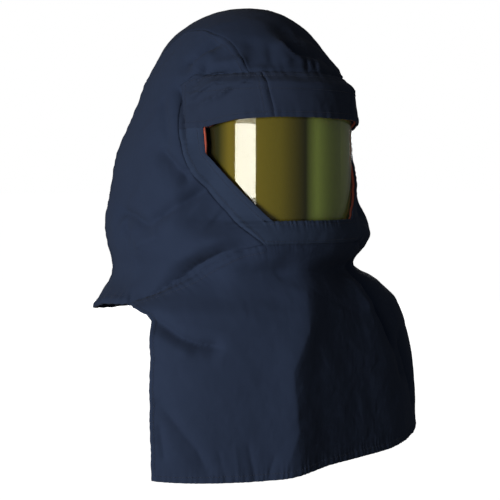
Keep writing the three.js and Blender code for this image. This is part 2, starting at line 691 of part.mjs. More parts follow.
function windowPiping(material) {
  const edges = rimEdges(cells.filter((cell) => cell.piece === 'window'));
  const next = new Map(edges.map(({ from, to }) => [from, to]));
  const below = insetMoves(edges, JOIN_GAP + PIPING_RADIUS);
  const behind = insetMoves(edges, -PIPING_RADIUS / 2);
  const flush = insetMoves(edges, PIPING_RADIUS / 3);
  const topRow = bodyRows[WINDOW_TOP_ROW];
  const topCorners = [topRow.get(-WINDOW_COLUMN), topRow.get(WINDOW_COLUMN)];
  const topInside = new Set();
  for (let column = 1 - WINDOW_COLUMN; column < WINDOW_COLUMN; column += 1) {
    topInside.add(topRow.get(column));
  }
  const upright = new Set();
  for (let row = WINDOW_TOP_ROW; row <= UPRIGHT_ROW; row += 1) {
    upright.add(bodyRows[row].get(-WINDOW_COLUMN)).add(bodyRows[row].get(WINDOW_COLUMN));
  }
  const path = [];
  let point = edges[0].from;
  do {
    const open = upright.has(point);
    const sunk = open && !topCorners.includes(point) ? CLOTH / 2 : CLOTH + 2 * JOIN_GAP + PIPING_RADIUS;
    const moves = topInside.has(point) ? behind : flush;
    const place = points[point].clone().add((open ? below : moves).get(point));
    path.push({ place: place.addScaledVector(normals[point], -sunk), normal: normals[point] });
    point = next.get(point);
  } while (point !== edges[0].from);
  const corners = [];
  path.forEach(({ place, normal }, i) => {
    const before = path[(i + path.length - 1) % path.length].place;
    const after = path[(i + 1) % path.length].place;
    const run = after.clone().sub(before).normalize();
    const across = normal.clone().cross(run).normalize();
    const up = run.clone().cross(across);
    for (let side = 0; side < CORD_SIDES; side += 1) {
      const turn = 2 * Math.PI * side / CORD_SIDES;
      corners.push(place.clone()
        .addScaledVector(across, PIPING_RADIUS * Math.cos(turn))
        .addScaledVector(up, PIPING_RADIUS * Math.sin(turn)));
    }
  });
  const triangles = [];
  for (let i = 0; i < path.length; i += 1) {
    const onward = (i + 1) % path.length;
    for (let side = 0; side < CORD_SIDES; side += 1) {
      const over = (side + 1) % CORD_SIDES;
      const a = i * CORD_SIDES + side;
      const b = i * CORD_SIDES + over;
      const c = onward * CORD_SIDES + over;
      const d = onward * CORD_SIDES + side;
      triangles.push(a, b, c, a, c, d);
    }
  }
  return meshFrom('window_piping', corners, triangles, material);
}

const navyCloth = new THREE.MeshStandardMaterial({ color: '#2b3346', roughness: 0.95 });
const darkCloth = new THREE.MeshStandardMaterial({ color: '#262d3f', roughness: 0.95 });
const orangeCord = new THREE.MeshStandardMaterial({ color: '#b8503a', roughness: 0.8 });
const amberShield = new THREE.MeshStandardMaterial({
  color: '#8a8a30',
  roughness: 0.12,
  transparent: true,
  opacity: 0.55,
});

const hood = new THREE.Group();
hood.name = 'arc_flash_hood';
for (const name of ['centre_gusset', 'side_panel_right', 'side_panel_left', 'chest_bib']) {
  hood.add(clothPiece(name, navyCloth));
}
for (const name of ['brow_band_front', 'brow_band_right', 'brow_band_left', 'window_border']) {
  hood.add(clothPiece(name, darkCloth));
}
hood.add(windowPiping(orangeCord));
hood.add(faceShield(amberShield));

export default hood;
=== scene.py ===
# %% [markdown]
# # Arc flash hood
# A worn hood of arc-rated cloth: a crown with a gusset down its middle, two side panels,
# a brow band, a bordered window with a bent amber shield, and a bib over the chest.
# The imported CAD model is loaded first, as a fixed frame. Every piece below is built over
# its own CAD node, in metres, with -Y the way the wearer faces and +Z up.

# %% Load the frame
import bpy
import numpy as np
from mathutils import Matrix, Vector


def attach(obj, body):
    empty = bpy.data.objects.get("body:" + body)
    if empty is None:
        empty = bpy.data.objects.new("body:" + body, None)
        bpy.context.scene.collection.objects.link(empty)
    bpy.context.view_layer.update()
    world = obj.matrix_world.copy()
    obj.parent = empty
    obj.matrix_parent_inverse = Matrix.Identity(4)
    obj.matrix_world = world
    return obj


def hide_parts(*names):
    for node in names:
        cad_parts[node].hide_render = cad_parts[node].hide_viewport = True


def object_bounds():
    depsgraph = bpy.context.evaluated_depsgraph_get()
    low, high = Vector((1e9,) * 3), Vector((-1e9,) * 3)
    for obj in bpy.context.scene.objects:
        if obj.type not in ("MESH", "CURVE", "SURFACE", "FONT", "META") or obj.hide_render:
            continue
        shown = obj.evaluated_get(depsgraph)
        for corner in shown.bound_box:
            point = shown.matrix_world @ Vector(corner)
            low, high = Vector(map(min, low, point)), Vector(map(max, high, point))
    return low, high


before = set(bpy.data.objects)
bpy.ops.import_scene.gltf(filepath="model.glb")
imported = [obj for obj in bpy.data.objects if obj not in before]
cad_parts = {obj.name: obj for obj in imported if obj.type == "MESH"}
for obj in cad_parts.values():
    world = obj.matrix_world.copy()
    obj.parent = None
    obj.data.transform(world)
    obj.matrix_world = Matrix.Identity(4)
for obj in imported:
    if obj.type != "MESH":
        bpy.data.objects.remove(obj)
cad_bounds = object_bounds()
ROOT = "root"
print(len(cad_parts), "CAD nodes in the box", cad_bounds)

# %% [markdown]
# ## The hood's own measures
# A maker's pattern starts from a few measures of the head and of the cloth. The same
# ones, in millimetres, drive the CAD model, so that both surfaces agree. MM turns them
# to metres only when a mesh is made. The seam gap is finer here than the CAD model's join
# gap, because a wider one lets light through.

# %% Driving sizes, in millimetres
MM = 0.001
DEGREE = np.pi / 180
HOOD_HEIGHT = 570.0
BROW_HALF_WIDTH = 119.5
BROW_HALF_LENGTH = 150.0
BROW_DEPTH = 0.1702 * HOOD_HEIGHT
CROWN_RADIUS = 1.237 * BROW_DEPTH
CLOTH = 2.5
JOIN_GAP = 0.3
SEAM_GAP = 0.05
SHIELD_RADIUS = 0.92 * BROW_HALF_WIDTH
SHIELD_AHEAD = 1.0933 * BROW_HALF_LENGTH - SHIELD_RADIUS
SHIELD_THICKNESS = 2.5
SHIELD_TOP = 0.2053 * HOOD_HEIGHT
SHIELD_BOTTOM = 0.5105 * HOOD_HEIGHT
SHIELD_HALF_ANGLE = 78.0
PIPING_RADIUS = 1.5
print("height of the hood", HOOD_HEIGHT, "mm, shield radius", round(SHIELD_RADIUS, 1), "mm")

# %% [markdown]
# ## Tables
# The body is a stack of rings, each a share of the hood's height from the top. A ring is
# a super-ellipse: side and front reach, with a power that says how square it is. Between
# the rows of a table a monotone cubic is read, which never overshoots its rows. Loose
# cloth could also be draped over a head by a simulation, but then its outline would be
# found by trial. With tables it is read straight from the real hood's side and front.

# %% Rings of the body and the crown
RING_KEYS = ("depth", "side", "front", "back", "lean", "front_power", "back_power")
RINGS = dict(zip(RING_KEYS, np.array([
    (0.170, 1.000, 1.033, 0.987, 0.00, 2.0, 2.2),
    (0.224, 1.080, 1.067, 1.067, 0.00, 2.0, 2.3),
    (0.268, 1.138, 1.100, 1.133, -0.01, 2.0, 2.4),
    (0.355, 1.240, 1.113, 1.233, -0.04, 2.0, 2.5),
    (0.425, 1.310, 1.140, 1.260, -0.03, 2.0, 2.5),
    (0.501, 1.410, 1.180, 1.260, 0.00, 2.0, 2.5),
    (0.548, 1.355, 1.107, 1.240, -0.03, 2.1, 2.5),
    (0.589, 1.285, 0.973, 1.187, -0.05, 2.2, 2.5),
    (0.633, 1.460, 1.120, 1.107, 0.04, 2.2, 2.5),
    (0.671, 1.630, 1.213, 1.067, 0.04, 2.3, 2.5),
    (0.727, 1.770, 1.267, 1.067, 0.03, 2.3, 2.6),
    (0.857, 1.900, 1.307, 1.100, 0.03, 2.3, 2.6),
    (1.000, 1.910, 1.320, 1.100, 0.03, 2.3, 2.6),
]).T))
CROWN_SHAPE = dict(zip(("depth", "size", "lean"), np.array([
    (0.00, 1.000, 0.000),
    (0.25, 0.955, -0.030),
    (0.60, 0.960, -0.010),
    (0.85, 0.985, 0.010),
    (1.00, 1.000, 0.000),
]).T))
STAND_OFF = dict(zip(("depth", "off"), np.array([
    (0.170, -0.0502),
    (0.195, 0.0134),
    (0.267, 0.0460),
    (0.351, 0.0335),
    (0.481, 0.0293),
    (0.530, 0.1004),
]).T))


def straight(table, key, at, column):
    """Value of a table's column, straight between its rows."""
    return np.interp(at, table[key], table[column])


def smooth(table, key, at, column):
    """Value of a table's column by a cubic whose slope at each row is the harmonic mean
    of the slopes on both sides, and 0 where they differ in sign."""
    x, y = table[key], table[column]
    slope = np.diff(y) / np.diff(x)
    before, after = slope[:-1], slope[1:]
    both = before + after
    mean = np.where(before * after > 0, 2 * before * after / np.where(both == 0, 1, both), 0)
    tangent = np.concatenate([slope[:1], mean, slope[-1:]])
    at = np.clip(at, x[0], x[-1])
    i = np.clip(np.searchsorted(x, at, side="left") - 1, 0, len(x) - 2)
    span = x[i + 1] - x[i]
    t = (at - x[i]) / span
    return ((2 * t**3 - 3 * t**2 + 1) * y[i] + (t**3 - 2 * t**2 + t) * span * tangent[i]
            + (3 * t**2 - 2 * t**3) * y[i + 1] + (t**3 - t**2) * span * tangent[i + 1])


def rise(value, low, high):
    """Step that goes smoothly from 0 at low to 1 at high."""
    t = np.clip((np.asarray(value, float) - low) / (high - low), 0, 1)
    return t * t * (3 - 2 * t)


shoulder_reach = float(smooth(RINGS, "depth", 0.8, "side")) * BROW_HALF_WIDTH
print("side reach at the shoulders", round(shoulder_reach), "mm")

# %% [markdown]
# ## The form
# Above the brow the rings shrink as a dome's do. Across the face the cloth leaves the
# rings and follows a cylinder round the shield, with a little more room at its ends.

# %% Outer face of the hood before its folds
FACE_FADE = (44.0, 64.0)
END_FADE = (60.0, 84.0)
END_START = (0.090, 0.195)
END_CLEARANCE = 2.2
END_SOFTNESS = 3.0
CLEAR_MARGIN = 6.0
FACE_START = (0.170, 0.195)
FACE_END = (0.466, 0.530)


def ring_radius(azimuth, share):
    """Radius of a super-ellipse, with its own reach and power ahead and behind."""
    ahead = np.cos(azimuth) > 0
    side = smooth(RINGS, "depth", share, "side") * BROW_HALF_WIDTH
    end = np.where(ahead, smooth(RINGS, "depth", share, "front"),
                   smooth(RINGS, "depth", share, "back"))
    power = np.where(ahead, smooth(RINGS, "depth", share, "front_power"),
                     smooth(RINGS, "depth", share, "back_power"))
    across = np.abs(np.sin(azimuth)) / side
    along = np.abs(np.cos(azimuth)) / (end * BROW_HALF_LENGTH)
    return (across**power + along**power) ** (-1 / power)


def face_radius(azimuth, off):
    """Distance from the hood's axis to a cylinder that stands off round the shield."""
    radius = SHIELD_RADIUS + JOIN_GAP + CLOTH + off
    sideways = SHIELD_AHEAD * np.sin(azimuth)
    return SHIELD_AHEAD * np.cos(azimuth) + np.sqrt(np.maximum(0, radius**2 - sideways**2))


def form_points(azimuth, depth):
    """Points from azimuth, in radians from the front, and depth below the crown's top."""
    azimuth, depth = np.broadcast_arrays(np.asarray(azimuth, float), np.asarray(depth, float))
    share = np.maximum(depth, BROW_DEPTH) / HOOD_HEIGHT
    in_crown = depth < BROW_DEPTH
    radius = ring_radius(azimuth, share)
    fall = 1 - np.minimum(depth, BROW_DEPTH) / CROWN_RADIUS
    brow_fall = 1 - BROW_DEPTH / CROWN_RADIUS
    dome = np.sqrt(np.maximum(0, 1 - fall**2) / (1 - brow_fall**2))
    dome = dome * smooth(CROWN_SHAPE, "depth", depth / BROW_DEPTH, "size")
    radius = np.where(in_crown, radius * dome, radius)
    turn = np.abs(azimuth) / DEGREE
    level = rise(share, *FACE_START) * (1 - rise(share, *FACE_END))
    face = level * (1 - rise(turn, *FACE_FADE))
    off = straight(STAND_OFF, "depth", share, "off") * BROW_HALF_WIDTH
    radius = radius + (face_radius(azimuth, off) - radius) * face
    short = face_radius(azimuth, END_CLEARANCE) - radius
    ends = (rise(depth / HOOD_HEIGHT, *END_START) * (1 - rise(share, *FACE_END))
            * rise(turn, FACE_FADE[0], END_FADE[0]) * (1 - rise(turn, *END_FADE)))
    radius = radius + ends * (short + np.hypot(short, END_SOFTNESS)) / 2
    lean = np.where(in_crown, smooth(CROWN_SHAPE, "depth", depth / BROW_DEPTH, "lean"),
                    smooth(RINGS, "depth", share, "lean"))
    x = radius * np.sin(azimuth) + BROW_HALF_WIDTH * (1 - face) * lean
    return np.stack([x, -radius * np.cos(azimuth), CLOTH - depth], axis=-1)


print("brow, front centre", form_points(0.0, BROW_DEPTH).round(1))

# %% [markdown]
# ## Folds
# A fold is a path on the form with a half width and a lift: the cloth moves out or in by
# a bell curve of its distance from the path. Widths and lifts are shares of the brow's
# half width, and a path's points are degrees from the front and shares of the height.
# The first table is the CAD model's own, and the second adds the creases that are too
# fine for its coarse faces. The third number of a row is the bell curve's power: 2 is a
# soft roll and 1 a sharp crease. Simulated cloth would fold in places of its own, while a
# path puts each fold where the worn hood has it.

# %% Fold tables: half width, lift, power and path
MAIN_FOLDS = (
    (0.085, -0.042, 2.0, ((-60, 0.188), (-53, 0.153))),
    (0.1, -0.033, 2.0, ((-68, 0.144), (-50, 0.102))),
    (0.065, -0.025, 2.0, ((-61, 0.229), (-45, 0.202))),
    (0.06, -0.021, 2.0, ((-41, 0.219), (-31, 0.197))),
    (0.075, -0.03, 2.0, ((-74, 0.198), (-67, 0.243), (-61, 0.31))),
    (0.125, -0.038, 2.0, ((-80, 0.326), (-60, 0.391))),
    (0.12, -0.042, 2.0, ((-103, 0.473), (-89, 0.478), (-75, 0.495), (-60, 0.445), (-50, 0.414))),
    (0.13, -0.055, 2.0, ((-83, 0.656), (-58, 0.597), (-41, 0.548), (-33, 0.535))),
    (0.095, -0.044, 2.0, ((-66, 0.685), (-54, 0.717), (-44, 0.731))),
    (0.09, -0.025, 2.0, ((-59, 0.845), (-55, 0.872), (-45, 0.967))),
    (0.21, 0.055, 2.0, ((-4, 0.59), (-11, 0.665), (-17, 0.775), (-17, 1.02))),
    (0.46, -0.06, 2.0, ((15, 0.71), (15, 0.93))),
    (0.4, -0.03, 2.0, ((-40, 0.7), (-40, 0.98))),
    (0.1, -0.055, 2.0, ((36, 0.59), (31, 0.64), (30, 0.683), (33, 0.724), (36, 0.763), (38, 0.82))),
    (0.085, -0.038, 2.0, ((40, 0.745), (44, 0.83), (48, 0.898))),
    (0.14, -0.055, 2.0, ((-4, 0.072), (2, 0.112), (14, 0.132))),
    (0.26, -0.042, 2.0, ((12, 0.07), (34, 0.115))),
    (0.135, -0.042, 2.0, ((84, 0.658), (56, 0.604), (34, 0.542))),
    (0.125, -0.038, 2.0, ((104, 0.47), (76, 0.5), (56, 0.44))),
    (0.11, -0.033, 2.0, ((70, 0.15), (52, 0.105))),
    (0.085, -0.033, 2.0, ((60, 0.188), (54, 0.153))),
    (0.08, -0.029, 2.0, ((72, 0.2), (63, 0.305))),
    (0.16, 0.042, 2.0, ((160, 0.52), (146, 0.69))),
    (0.15, 0.038, 2.0, ((-166, 0.56), (-152, 0.7))),
)
FINE_FOLDS = (
    # the bib's ridge, and cloth that hangs straight from the collar
    (0.24, 0.050, 1.0, ((4, 0.565), (-10, 0.628), (-11.5, 0.700), (-18, 0.778), (-16.5, 0.900),
                        (-24, 1.030))),
    (0.24, 0.095, 2.0, ((-48, 0.578), (-20, 0.582), (6, 0.600), (20, 0.605))),
    (0.13, 0.026, 2.0, ((-83, 0.656), (-58, 0.597), (-41, 0.548), (-33, 0.535))),
    # neck fold and the roll above it
    (0.040, -0.060, 1.2, ((-84, 0.657), (-73.5, 0.637), (-58.5, 0.5955), (-49.8, 0.568),
                          (-41, 0.547), (-32, 0.536))),
    (0.090, 0.040, 1.8, ((-78, 0.622), (-50, 0.538), (-36, 0.512))),
    # bib's upper left
    (0.036, -0.050, 1.3, ((-69, 0.678), (-59.3, 0.7023), (-54, 0.7177), (-48.5, 0.7272), (-38, 0.733))),
    (0.050, 0.024, 1.6, ((-64, 0.705), (-49, 0.750))),
    # the V at the jaw
    (0.050, -0.050, 1.3, ((-106, 0.466), (-90, 0.477), (-80.8, 0.4924), (-74, 0.497))),
    (0.050, -0.052, 1.3, ((-80, 0.500), (-69, 0.470), (-60, 0.445), (-49, 0.412))),
    (0.070, -0.055, 1.6, ((-100, 0.498), (-90, 0.520))),
    (0.060, 0.029, 1.6, ((-88, 0.545), (-68, 0.510))),
    (0.150, 0.036, 2.0, ((-55, 0.440), (-44, 0.480))),
    # dents beside the window
    (0.070, -0.060, 1.5, ((-80, 0.325), (-68.5, 0.356), (-60.5, 0.387), (-57.5, 0.414))),
    (0.070, -0.032, 1.8, ((-88, 0.205), (-77.5, 0.268), (-69.8, 0.335))),
    (0.026, -0.050, 1.1, ((-74.5, 0.190), (-68.5, 0.237), (-65, 0.270), (-60.5, 0.318))),
    # the band's slanting rolls
    (0.034, 0.056, 1.5, ((-65, 0.228), (-55, 0.2095), (-43, 0.188))),
    (0.030, 0.044, 1.4, ((-56, 0.240), (-45, 0.2215), (-37, 0.203))),
    (0.026, 0.042, 1.4, ((-44, 0.222), (-35, 0.2025), (-29, 0.183))),
    (0.024, 0.026, 1.3, ((-42, 0.231), (-20, 0.2180))),
    (0.022, -0.040, 1.1, ((-60.5, 0.232), (-54.5, 0.2184), (-44, 0.200))),
    (0.022, -0.030, 1.1, ((-42.5, 0.222), (-35, 0.2066), (-30.5, 0.194))),
    # the ledge over the band
    (0.034, -0.066, 1.3, ((-60, 0.184), (-54, 0.1705), (-24, 0.1690))),
    (0.060, 0.034, 1.6, ((-54, 0.150), (-30, 0.147))),
    (0.032, -0.044, 1.2, ((-59.5, 0.192), (-52.5, 0.150))),
    # left of the crown
    (0.036, -0.055, 1.3, ((-72, 0.145), (-63, 0.1282), (-51.8, 0.1003), (-44, 0.0915))),
    (0.060, 0.024, 1.6, ((-66, 0.150), (-50, 0.118))),
    # beside the gusset's seam
    (0.090, -0.030, 2.0, ((-27, 0.092), (-27.5, 0.168))),
    (0.045, -0.024, 1.6, ((-17.5, 0.105), (-19.8, 0.168))),
    (0.080, 0.026, 1.8, ((-14, 0.098), (-11, 0.158))),
    # the crown's right hollow and its short tucks
    (0.035, 0.038, 1.2, ((-13.5, 0.088), (-10.5, 0.1184), (-8, 0.1323), (-4, 0.140), (14, 0.1393))),
    (0.050, -0.048, 1.4, ((-8, 0.086), (-5, 0.118), (-1, 0.128), (14, 0.130))),
    (0.020, -0.028, 1.2, ((-1.6, 0.138), (-2.9, 0.168))),
    (0.020, -0.026, 1.2, ((3.2, 0.136), (1.6, 0.167))),
    (0.024, 0.014, 1.2, ((8.6, 0.138), (1.4, 0.168))),
    (0.120, -0.034, 1.6, ((6, 0.060), (30, 0.100))),
    # far side of the chest
    (0.042, -0.052, 1.2, ((38, 0.580), (31, 0.622), (29.5, 0.683), (33, 0.724), (36, 0.790))),
    (0.040, -0.034, 1.2, ((40, 0.740), (43, 0.830), (47, 0.900))),
    (0.070, 0.029, 1.6, ((24, 0.600), (23, 0.690))),
    # creases towards the hem
    (0.034, -0.022, 1.2, ((-60, 0.835), (-55, 0.872), (-47.8, 0.9288), (-44, 0.980))),
    (0.030, -0.010, 1.2, ((-41.5, 0.920), (-38.8, 1.000))),
    (0.028, -0.013, 1.2, ((-32.5, 0.910), (-29.6, 1.000))),
    (0.030, -0.010, 1.3, ((-23.5, 0.935), (-26.8, 1.000))),
    (0.030, 0.008, 1.3, ((-36.5, 0.910), (-34.5, 1.000))),
    (0.040, -0.024, 1.4, ((-59, 0.875), (-57, 0.960))),
    # left side
    (0.045, -0.026, 1.2, ((84, 0.658), (56, 0.604), (34, 0.542))),
    (0.045, -0.024, 1.2, ((104, 0.47), (76, 0.5), (56, 0.44))),
    (0.03, -0.02, 1.2, ((72, 0.19), (64, 0.3))),
    # back
    (0.06, -0.024, 1.4, ((150, 0.48), (128, 0.56))),
    (0.06, -0.024, 1.4, ((-150, 0.5), (-126, 0.6))),
    (0.07, -0.02, 1.6, ((170, 0.2), (140, 0.32))),
    (0.07, -0.02, 1.6, ((-172, 0.26), (-140, 0.36))),
    (0.06, -0.024, 1.4, ((-178, 0.57), (-176, 0.72))),
    (0.05, -0.02, 1.3, ((168, 0.6), (164, 0.715))),
)
FADE_OUT = 0.22


def outward_of(points):
    """Direction away from the axis below the brow, and away from the dome's middle above."""
    away = points.copy()
    away[..., 2] = np.maximum(0, points[..., 2] + CROWN_RADIUS)
    return away / np.linalg.norm(away, axis=-1, keepdims=True)


def fold_lift(points, folds, fade=0.0):
    """Sum over the folds of lift times a bell curve of the distance to the fold's path.
    With a fade, the lift rises and falls over that share of the path at either end."""
    lift = np.zeros(points.shape[:-1])
    for width, height, power, path in folds:
        stops = form_points(*(np.array(path).T * [[DEGREE], [HOOD_HEIGHT]]))
        lengths = np.linalg.norm(np.diff(stops, axis=0), axis=1)
        starts = np.concatenate([[0], np.cumsum(lengths)])
        nearest, place = np.full(lift.shape, np.inf), np.zeros(lift.shape)
        for start, end, length, before in zip(stops[:-1], stops[1:], lengths, starts):
            along = np.clip((points - start) @ (end - start) / length**2, 0, 1)
            away = np.linalg.norm(points - start - along[..., None] * (end - start), axis=-1)
            place = np.where(away < nearest, (before + along * length) / starts[-1], place)
            nearest = np.minimum(nearest, away)
        ends = rise(np.minimum(place, 1 - place), 0, fade) if fade else 1
        lift += height * ends * np.exp(-((nearest / (width * BROW_HALF_WIDTH)) ** power))
    return lift * BROW_HALF_WIDTH


CRUMPLE_WAVES = ((78, 0.50), (46, 0.24), (27, 0.16), (16, 0.08))
CRUMPLE_TURNS = 3
LEAN_START, LEAN_PER_TURN, LEAN_PER_WAVE = 0.7, 2.1, 0.9
SIDEWAYS, SIDEWAYS_TURN = 0.8, 1.7
CRUMPLE_BEND = 1.3


def crumple(points):
    """Small waves of the cloth: sines of the distance along tilted directions, each bent
    by the wave before it. Every pair is a wavelength and a height in millimetres."""
    total = np.zeros(points.shape[:-1])
    bend = np.zeros(points.shape[:-1])
    for number, (wave, height) in enumerate(CRUMPLE_WAVES):
        for turn in range(CRUMPLE_TURNS):
            lean = LEAN_START + LEAN_PER_TURN * turn + LEAN_PER_WAVE * number
            way = np.array([np.cos(lean), SIDEWAYS * np.sin(SIDEWAYS_TURN * lean), np.sin(lean)])
            bend = np.sin(2 * np.pi * (points @ way) / wave + CRUMPLE_BEND * bend + number + turn)
            total += height * bend / 2
    return total


def keep_clear(points, depth):
    """Cloth over the shield is moved out to a least distance from the shield's axis."""
    ahead = -points[..., 1] - SHIELD_AHEAD
    turn = np.arctan2(np.abs(points[..., 0]), ahead) / DEGREE
    reach = np.hypot(points[..., 0], ahead)
    least = SHIELD_RADIUS + JOIN_GAP + CLOTH + END_CLEARANCE
    covers = ((turn < SHIELD_HALF_ANGLE + CLEAR_MARGIN) & (depth > SHIELD_TOP - 2 * CLOTH)
              & (depth < SHIELD_BOTTOM + 2 * CLOTH) & (reach < least))
    grow = np.where(covers, least / np.maximum(reach, 1), 1)
    points = points.copy()
    points[..., 0] *= grow
    points[..., 1] = -SHIELD_AHEAD - ahead * grow
    return points


def shell_points(azimuth, depth):
    """Outer face of the hood with its folds, kept clear of the shield."""
    points = form_points(azimuth, depth)
    lift = fold_lift(points, MAIN_FOLDS) + fold_lift(points, FINE_FOLDS, FADE_OUT) + crumple(points)
    points = points + outward_of(points) * lift[..., None]
    return keep_clear(points, np.broadcast_to(depth, points.shape[:-1]))


print(len(MAIN_FOLDS), "main folds and", len(FINE_FOLDS), "fine ones")

# %% [markdown]
# ## The pattern's lattice
# Columns run round the hood from the front centre to the back, rows run down it. The
# seams lie on whole columns and rows, and a fraction is as good as a whole number, so
# the cloth can be cut as finely as its detail needs.

# %% Columns, rows and the tables that place them
FRONT_COLUMNS = 10
SIDE_COLUMNS = 14
HALF_COLUMNS = 2 * FRONT_COLUMNS + SIDE_COLUMNS
BAND_SEAM_COLUMN = 4
WINDOW_COLUMN = 8
BORDER_COLUMN = 10
BIB_COLUMNS = 24
GUSSET_COLUMNS = 5
GUSSET_SEAM_COLUMN = HALF_COLUMNS - GUSSET_COLUMNS
LEDGE_ROW = 1
WINDOW_TOP_ROW = 4
UPRIGHT_ROW = 6
WINDOW_BOTTOM_ROW = 13
COLLAR_ROW = 16
BIB_ROWS = 16
CURVE_ROWS = 2
EVEN_COLUMNS = 6
SPREAD_ROWS = 9.6
EDGE_POWER = 3
CORNER_TURN = 15.0
GUSSET_WIDTHS = dict(zip(("along", "share"), np.array([
    (-1.00, 0.495), (-0.84, 0.435), (-0.68, 0.400), (-0.46, 0.455), (-0.25, 0.535), (0.05, 0.580),
    (0.45, 0.640), (1.00, 0.860),
]).T))
PATH_KEYS = ("row", "band_seam", "window_side", "border_side", "bib_side", "gusset_seam")
COLUMN_PATHS = dict(zip(PATH_KEYS, np.array([
    (0, 24.0, 48.0, 60.0, 120, 128),
    (1, 23.0, 49.5, 72.0, 119, 128),
    (4, 20.0, 52.0, 66.0, 116, 127),
    (6, 20.0, 50.6, 60.5, 113, 126),
    (8, 17.0, 42.2, 57.5, 109, 124),
    (13, 9.0, 21.1, 36.5, 97, 120),
    (16, 8.5, 19.5, 23.8, 84, 118),
]).T))
ROW_DEPTHS = dict(zip(("row", "depth"), np.array([
    (0, 0.1702), (1, 0.1930), (4, 0.2675), (6, 0.3409), (13, 0.4814), (16, 0.5304),
]).T))
WINDOW_TOP_DROP = dict(zip(("column", "drop"), np.array([
    (4, 0.0), (6, 0.0045), (8, 0.0192), (10, 0.0210),
]).T))
COLLAR = dict(zip(("azimuth", "depth"), np.array([
    (23.8, 0.5304), (34, 0.5433), (54.7, 0.5990), (84, 0.6610), (100, 0.6690),
    (118, 0.6930), (135, 0.7053), (150, 0.7088), (180, 0.7350),
]).T))
BIB_EDGE = dict(zip(("row", "azimuth", "depth"), np.array([
    (0, 84.0, 0.6610), (1, 75.0, 0.6680), (2, 69.3, 0.6755), (3, 67.0, 0.6880),
    (4, 64.9, 0.7130), (6, 62.9, 0.7600), (9, 62.0, 0.8320), (16, 60.8, 1.0000),
]).T))
HEM = dict(zip(("share", "depth"), np.array([
    (-1.0, 0.9950), (-0.5, 0.9930), (0.0, 0.9790), (0.4, 0.9790), (0.7, 0.9710), (1.0, 0.9660),
]).T))


def crown_place(across, along):
    """Square to disc: each side of the square lattice becomes a quarter of the ring."""
    x = across * np.sqrt(1 - along**2 / 2)
    y = along * np.sqrt(1 - across**2 / 2)
    turn = np.arctan2(x, -y)
    return turn + CORNER_TURN * DEGREE * np.sin(2 * turn), np.hypot(x, y)


def across_crown(column, along):
    """Place across the crown of a column: the gusset narrows over the brow."""
    seam = smooth(GUSSET_WIDTHS, "along", along, "share")
    count = np.abs(column)
    outside = seam + (1 - seam) * (count - GUSSET_COLUMNS) / (FRONT_COLUMNS - GUSSET_COLUMNS)
    inside = seam * count / GUSSET_COLUMNS
    return np.sign(column) * np.where(count <= GUSSET_COLUMNS, inside, outside)


def brow_azimuth(column):
    """Azimuth of a column on the brow ring, read from the crown's square lattice."""
    front = crown_place(across_crown(np.clip(column, 0, FRONT_COLUMNS), -1.0), -1.0)[0]
    side = crown_place(1.0, np.clip(2 * (column - FRONT_COLUMNS) / SIDE_COLUMNS - 1, -1, 1))[0]
    back = crown_place(across_crown(np.clip(HALF_COLUMNS - column, 0, FRONT_COLUMNS), 1.0), 1.0)[0]
    back = np.where(column >= HALF_COLUMNS, np.pi, back)
    past_front = np.where(column <= FRONT_COLUMNS + SIDE_COLUMNS, side, back)
    return np.where(column <= FRONT_COLUMNS, front, past_front)


def path_azimuth(column, row):
    """Azimuth of a column, straight between the seams' own paths down the hood."""
    columns = (0, BAND_SEAM_COLUMN, WINDOW_COLUMN, BORDER_COLUMN, BIB_COLUMNS, GUSSET_SEAM_COLUMN,
               HALF_COLUMNS)
    column, row = np.broadcast_arrays(np.asarray(column, float), np.asarray(row, float))
    paths = [np.zeros(row.shape)] + [straight(COLUMN_PATHS, "row", row, k) for k in PATH_KEYS[1:]]
    paths.append(np.full(row.shape, 180.0))
    result = paths[0]
    for low, high, near, far in zip(columns[:-1], columns[1:], paths[:-1], paths[1:]):
        between = near + (far - near) * (column - low) / (high - low)
        result = np.where(column >= low, between, result)
    return result * DEGREE


def body_azimuth(column, row):
    """The brow row keeps the crown's spacing, which fades out down to the window's top."""
    early = 1 - rise(row, 0, WINDOW_TOP_ROW)
    return path_azimuth(column, row) + early * (brow_azimuth(column) - path_azimuth(column, 0))


def collar_depth(column):
    """Depth of the collar seam and shoulder hem at a column."""
    azimuth = path_azimuth(column, COLLAR_ROW) / DEGREE
    return straight(COLLAR, "azimuth", azimuth, "depth") * HOOD_HEIGHT


def body_depth(column, row):
    """Depth of a row: set by the window at the front, evenly spaced at the sides."""
    column, row = np.broadcast_arrays(np.asarray(column, float), np.asarray(row, float))
    drop = (straight(WINDOW_TOP_DROP, "column", column, "drop") * rise(row, LEDGE_ROW, WINDOW_TOP_ROW)
            * (1 - rise(row, WINDOW_TOP_ROW, WINDOW_TOP_ROW + CURVE_ROWS)))
    front = (straight(ROW_DEPTHS, "row", row, "depth") + drop) * HOOD_HEIGHT
    front_bottom = straight(ROW_DEPTHS, "row", COLLAR_ROW, "depth") * HOOD_HEIGHT
    front_share = (front - BROW_DEPTH) / (front_bottom - BROW_DEPTH)
    even = rise(column, BORDER_COLUMN, BORDER_COLUMN + EVEN_COLUMNS)
    share = front_share + (row / COLLAR_ROW - front_share) * even
    side = BROW_DEPTH + (collar_depth(column) - BROW_DEPTH) * share
    return np.where(column <= BORDER_COLUMN, front, side)


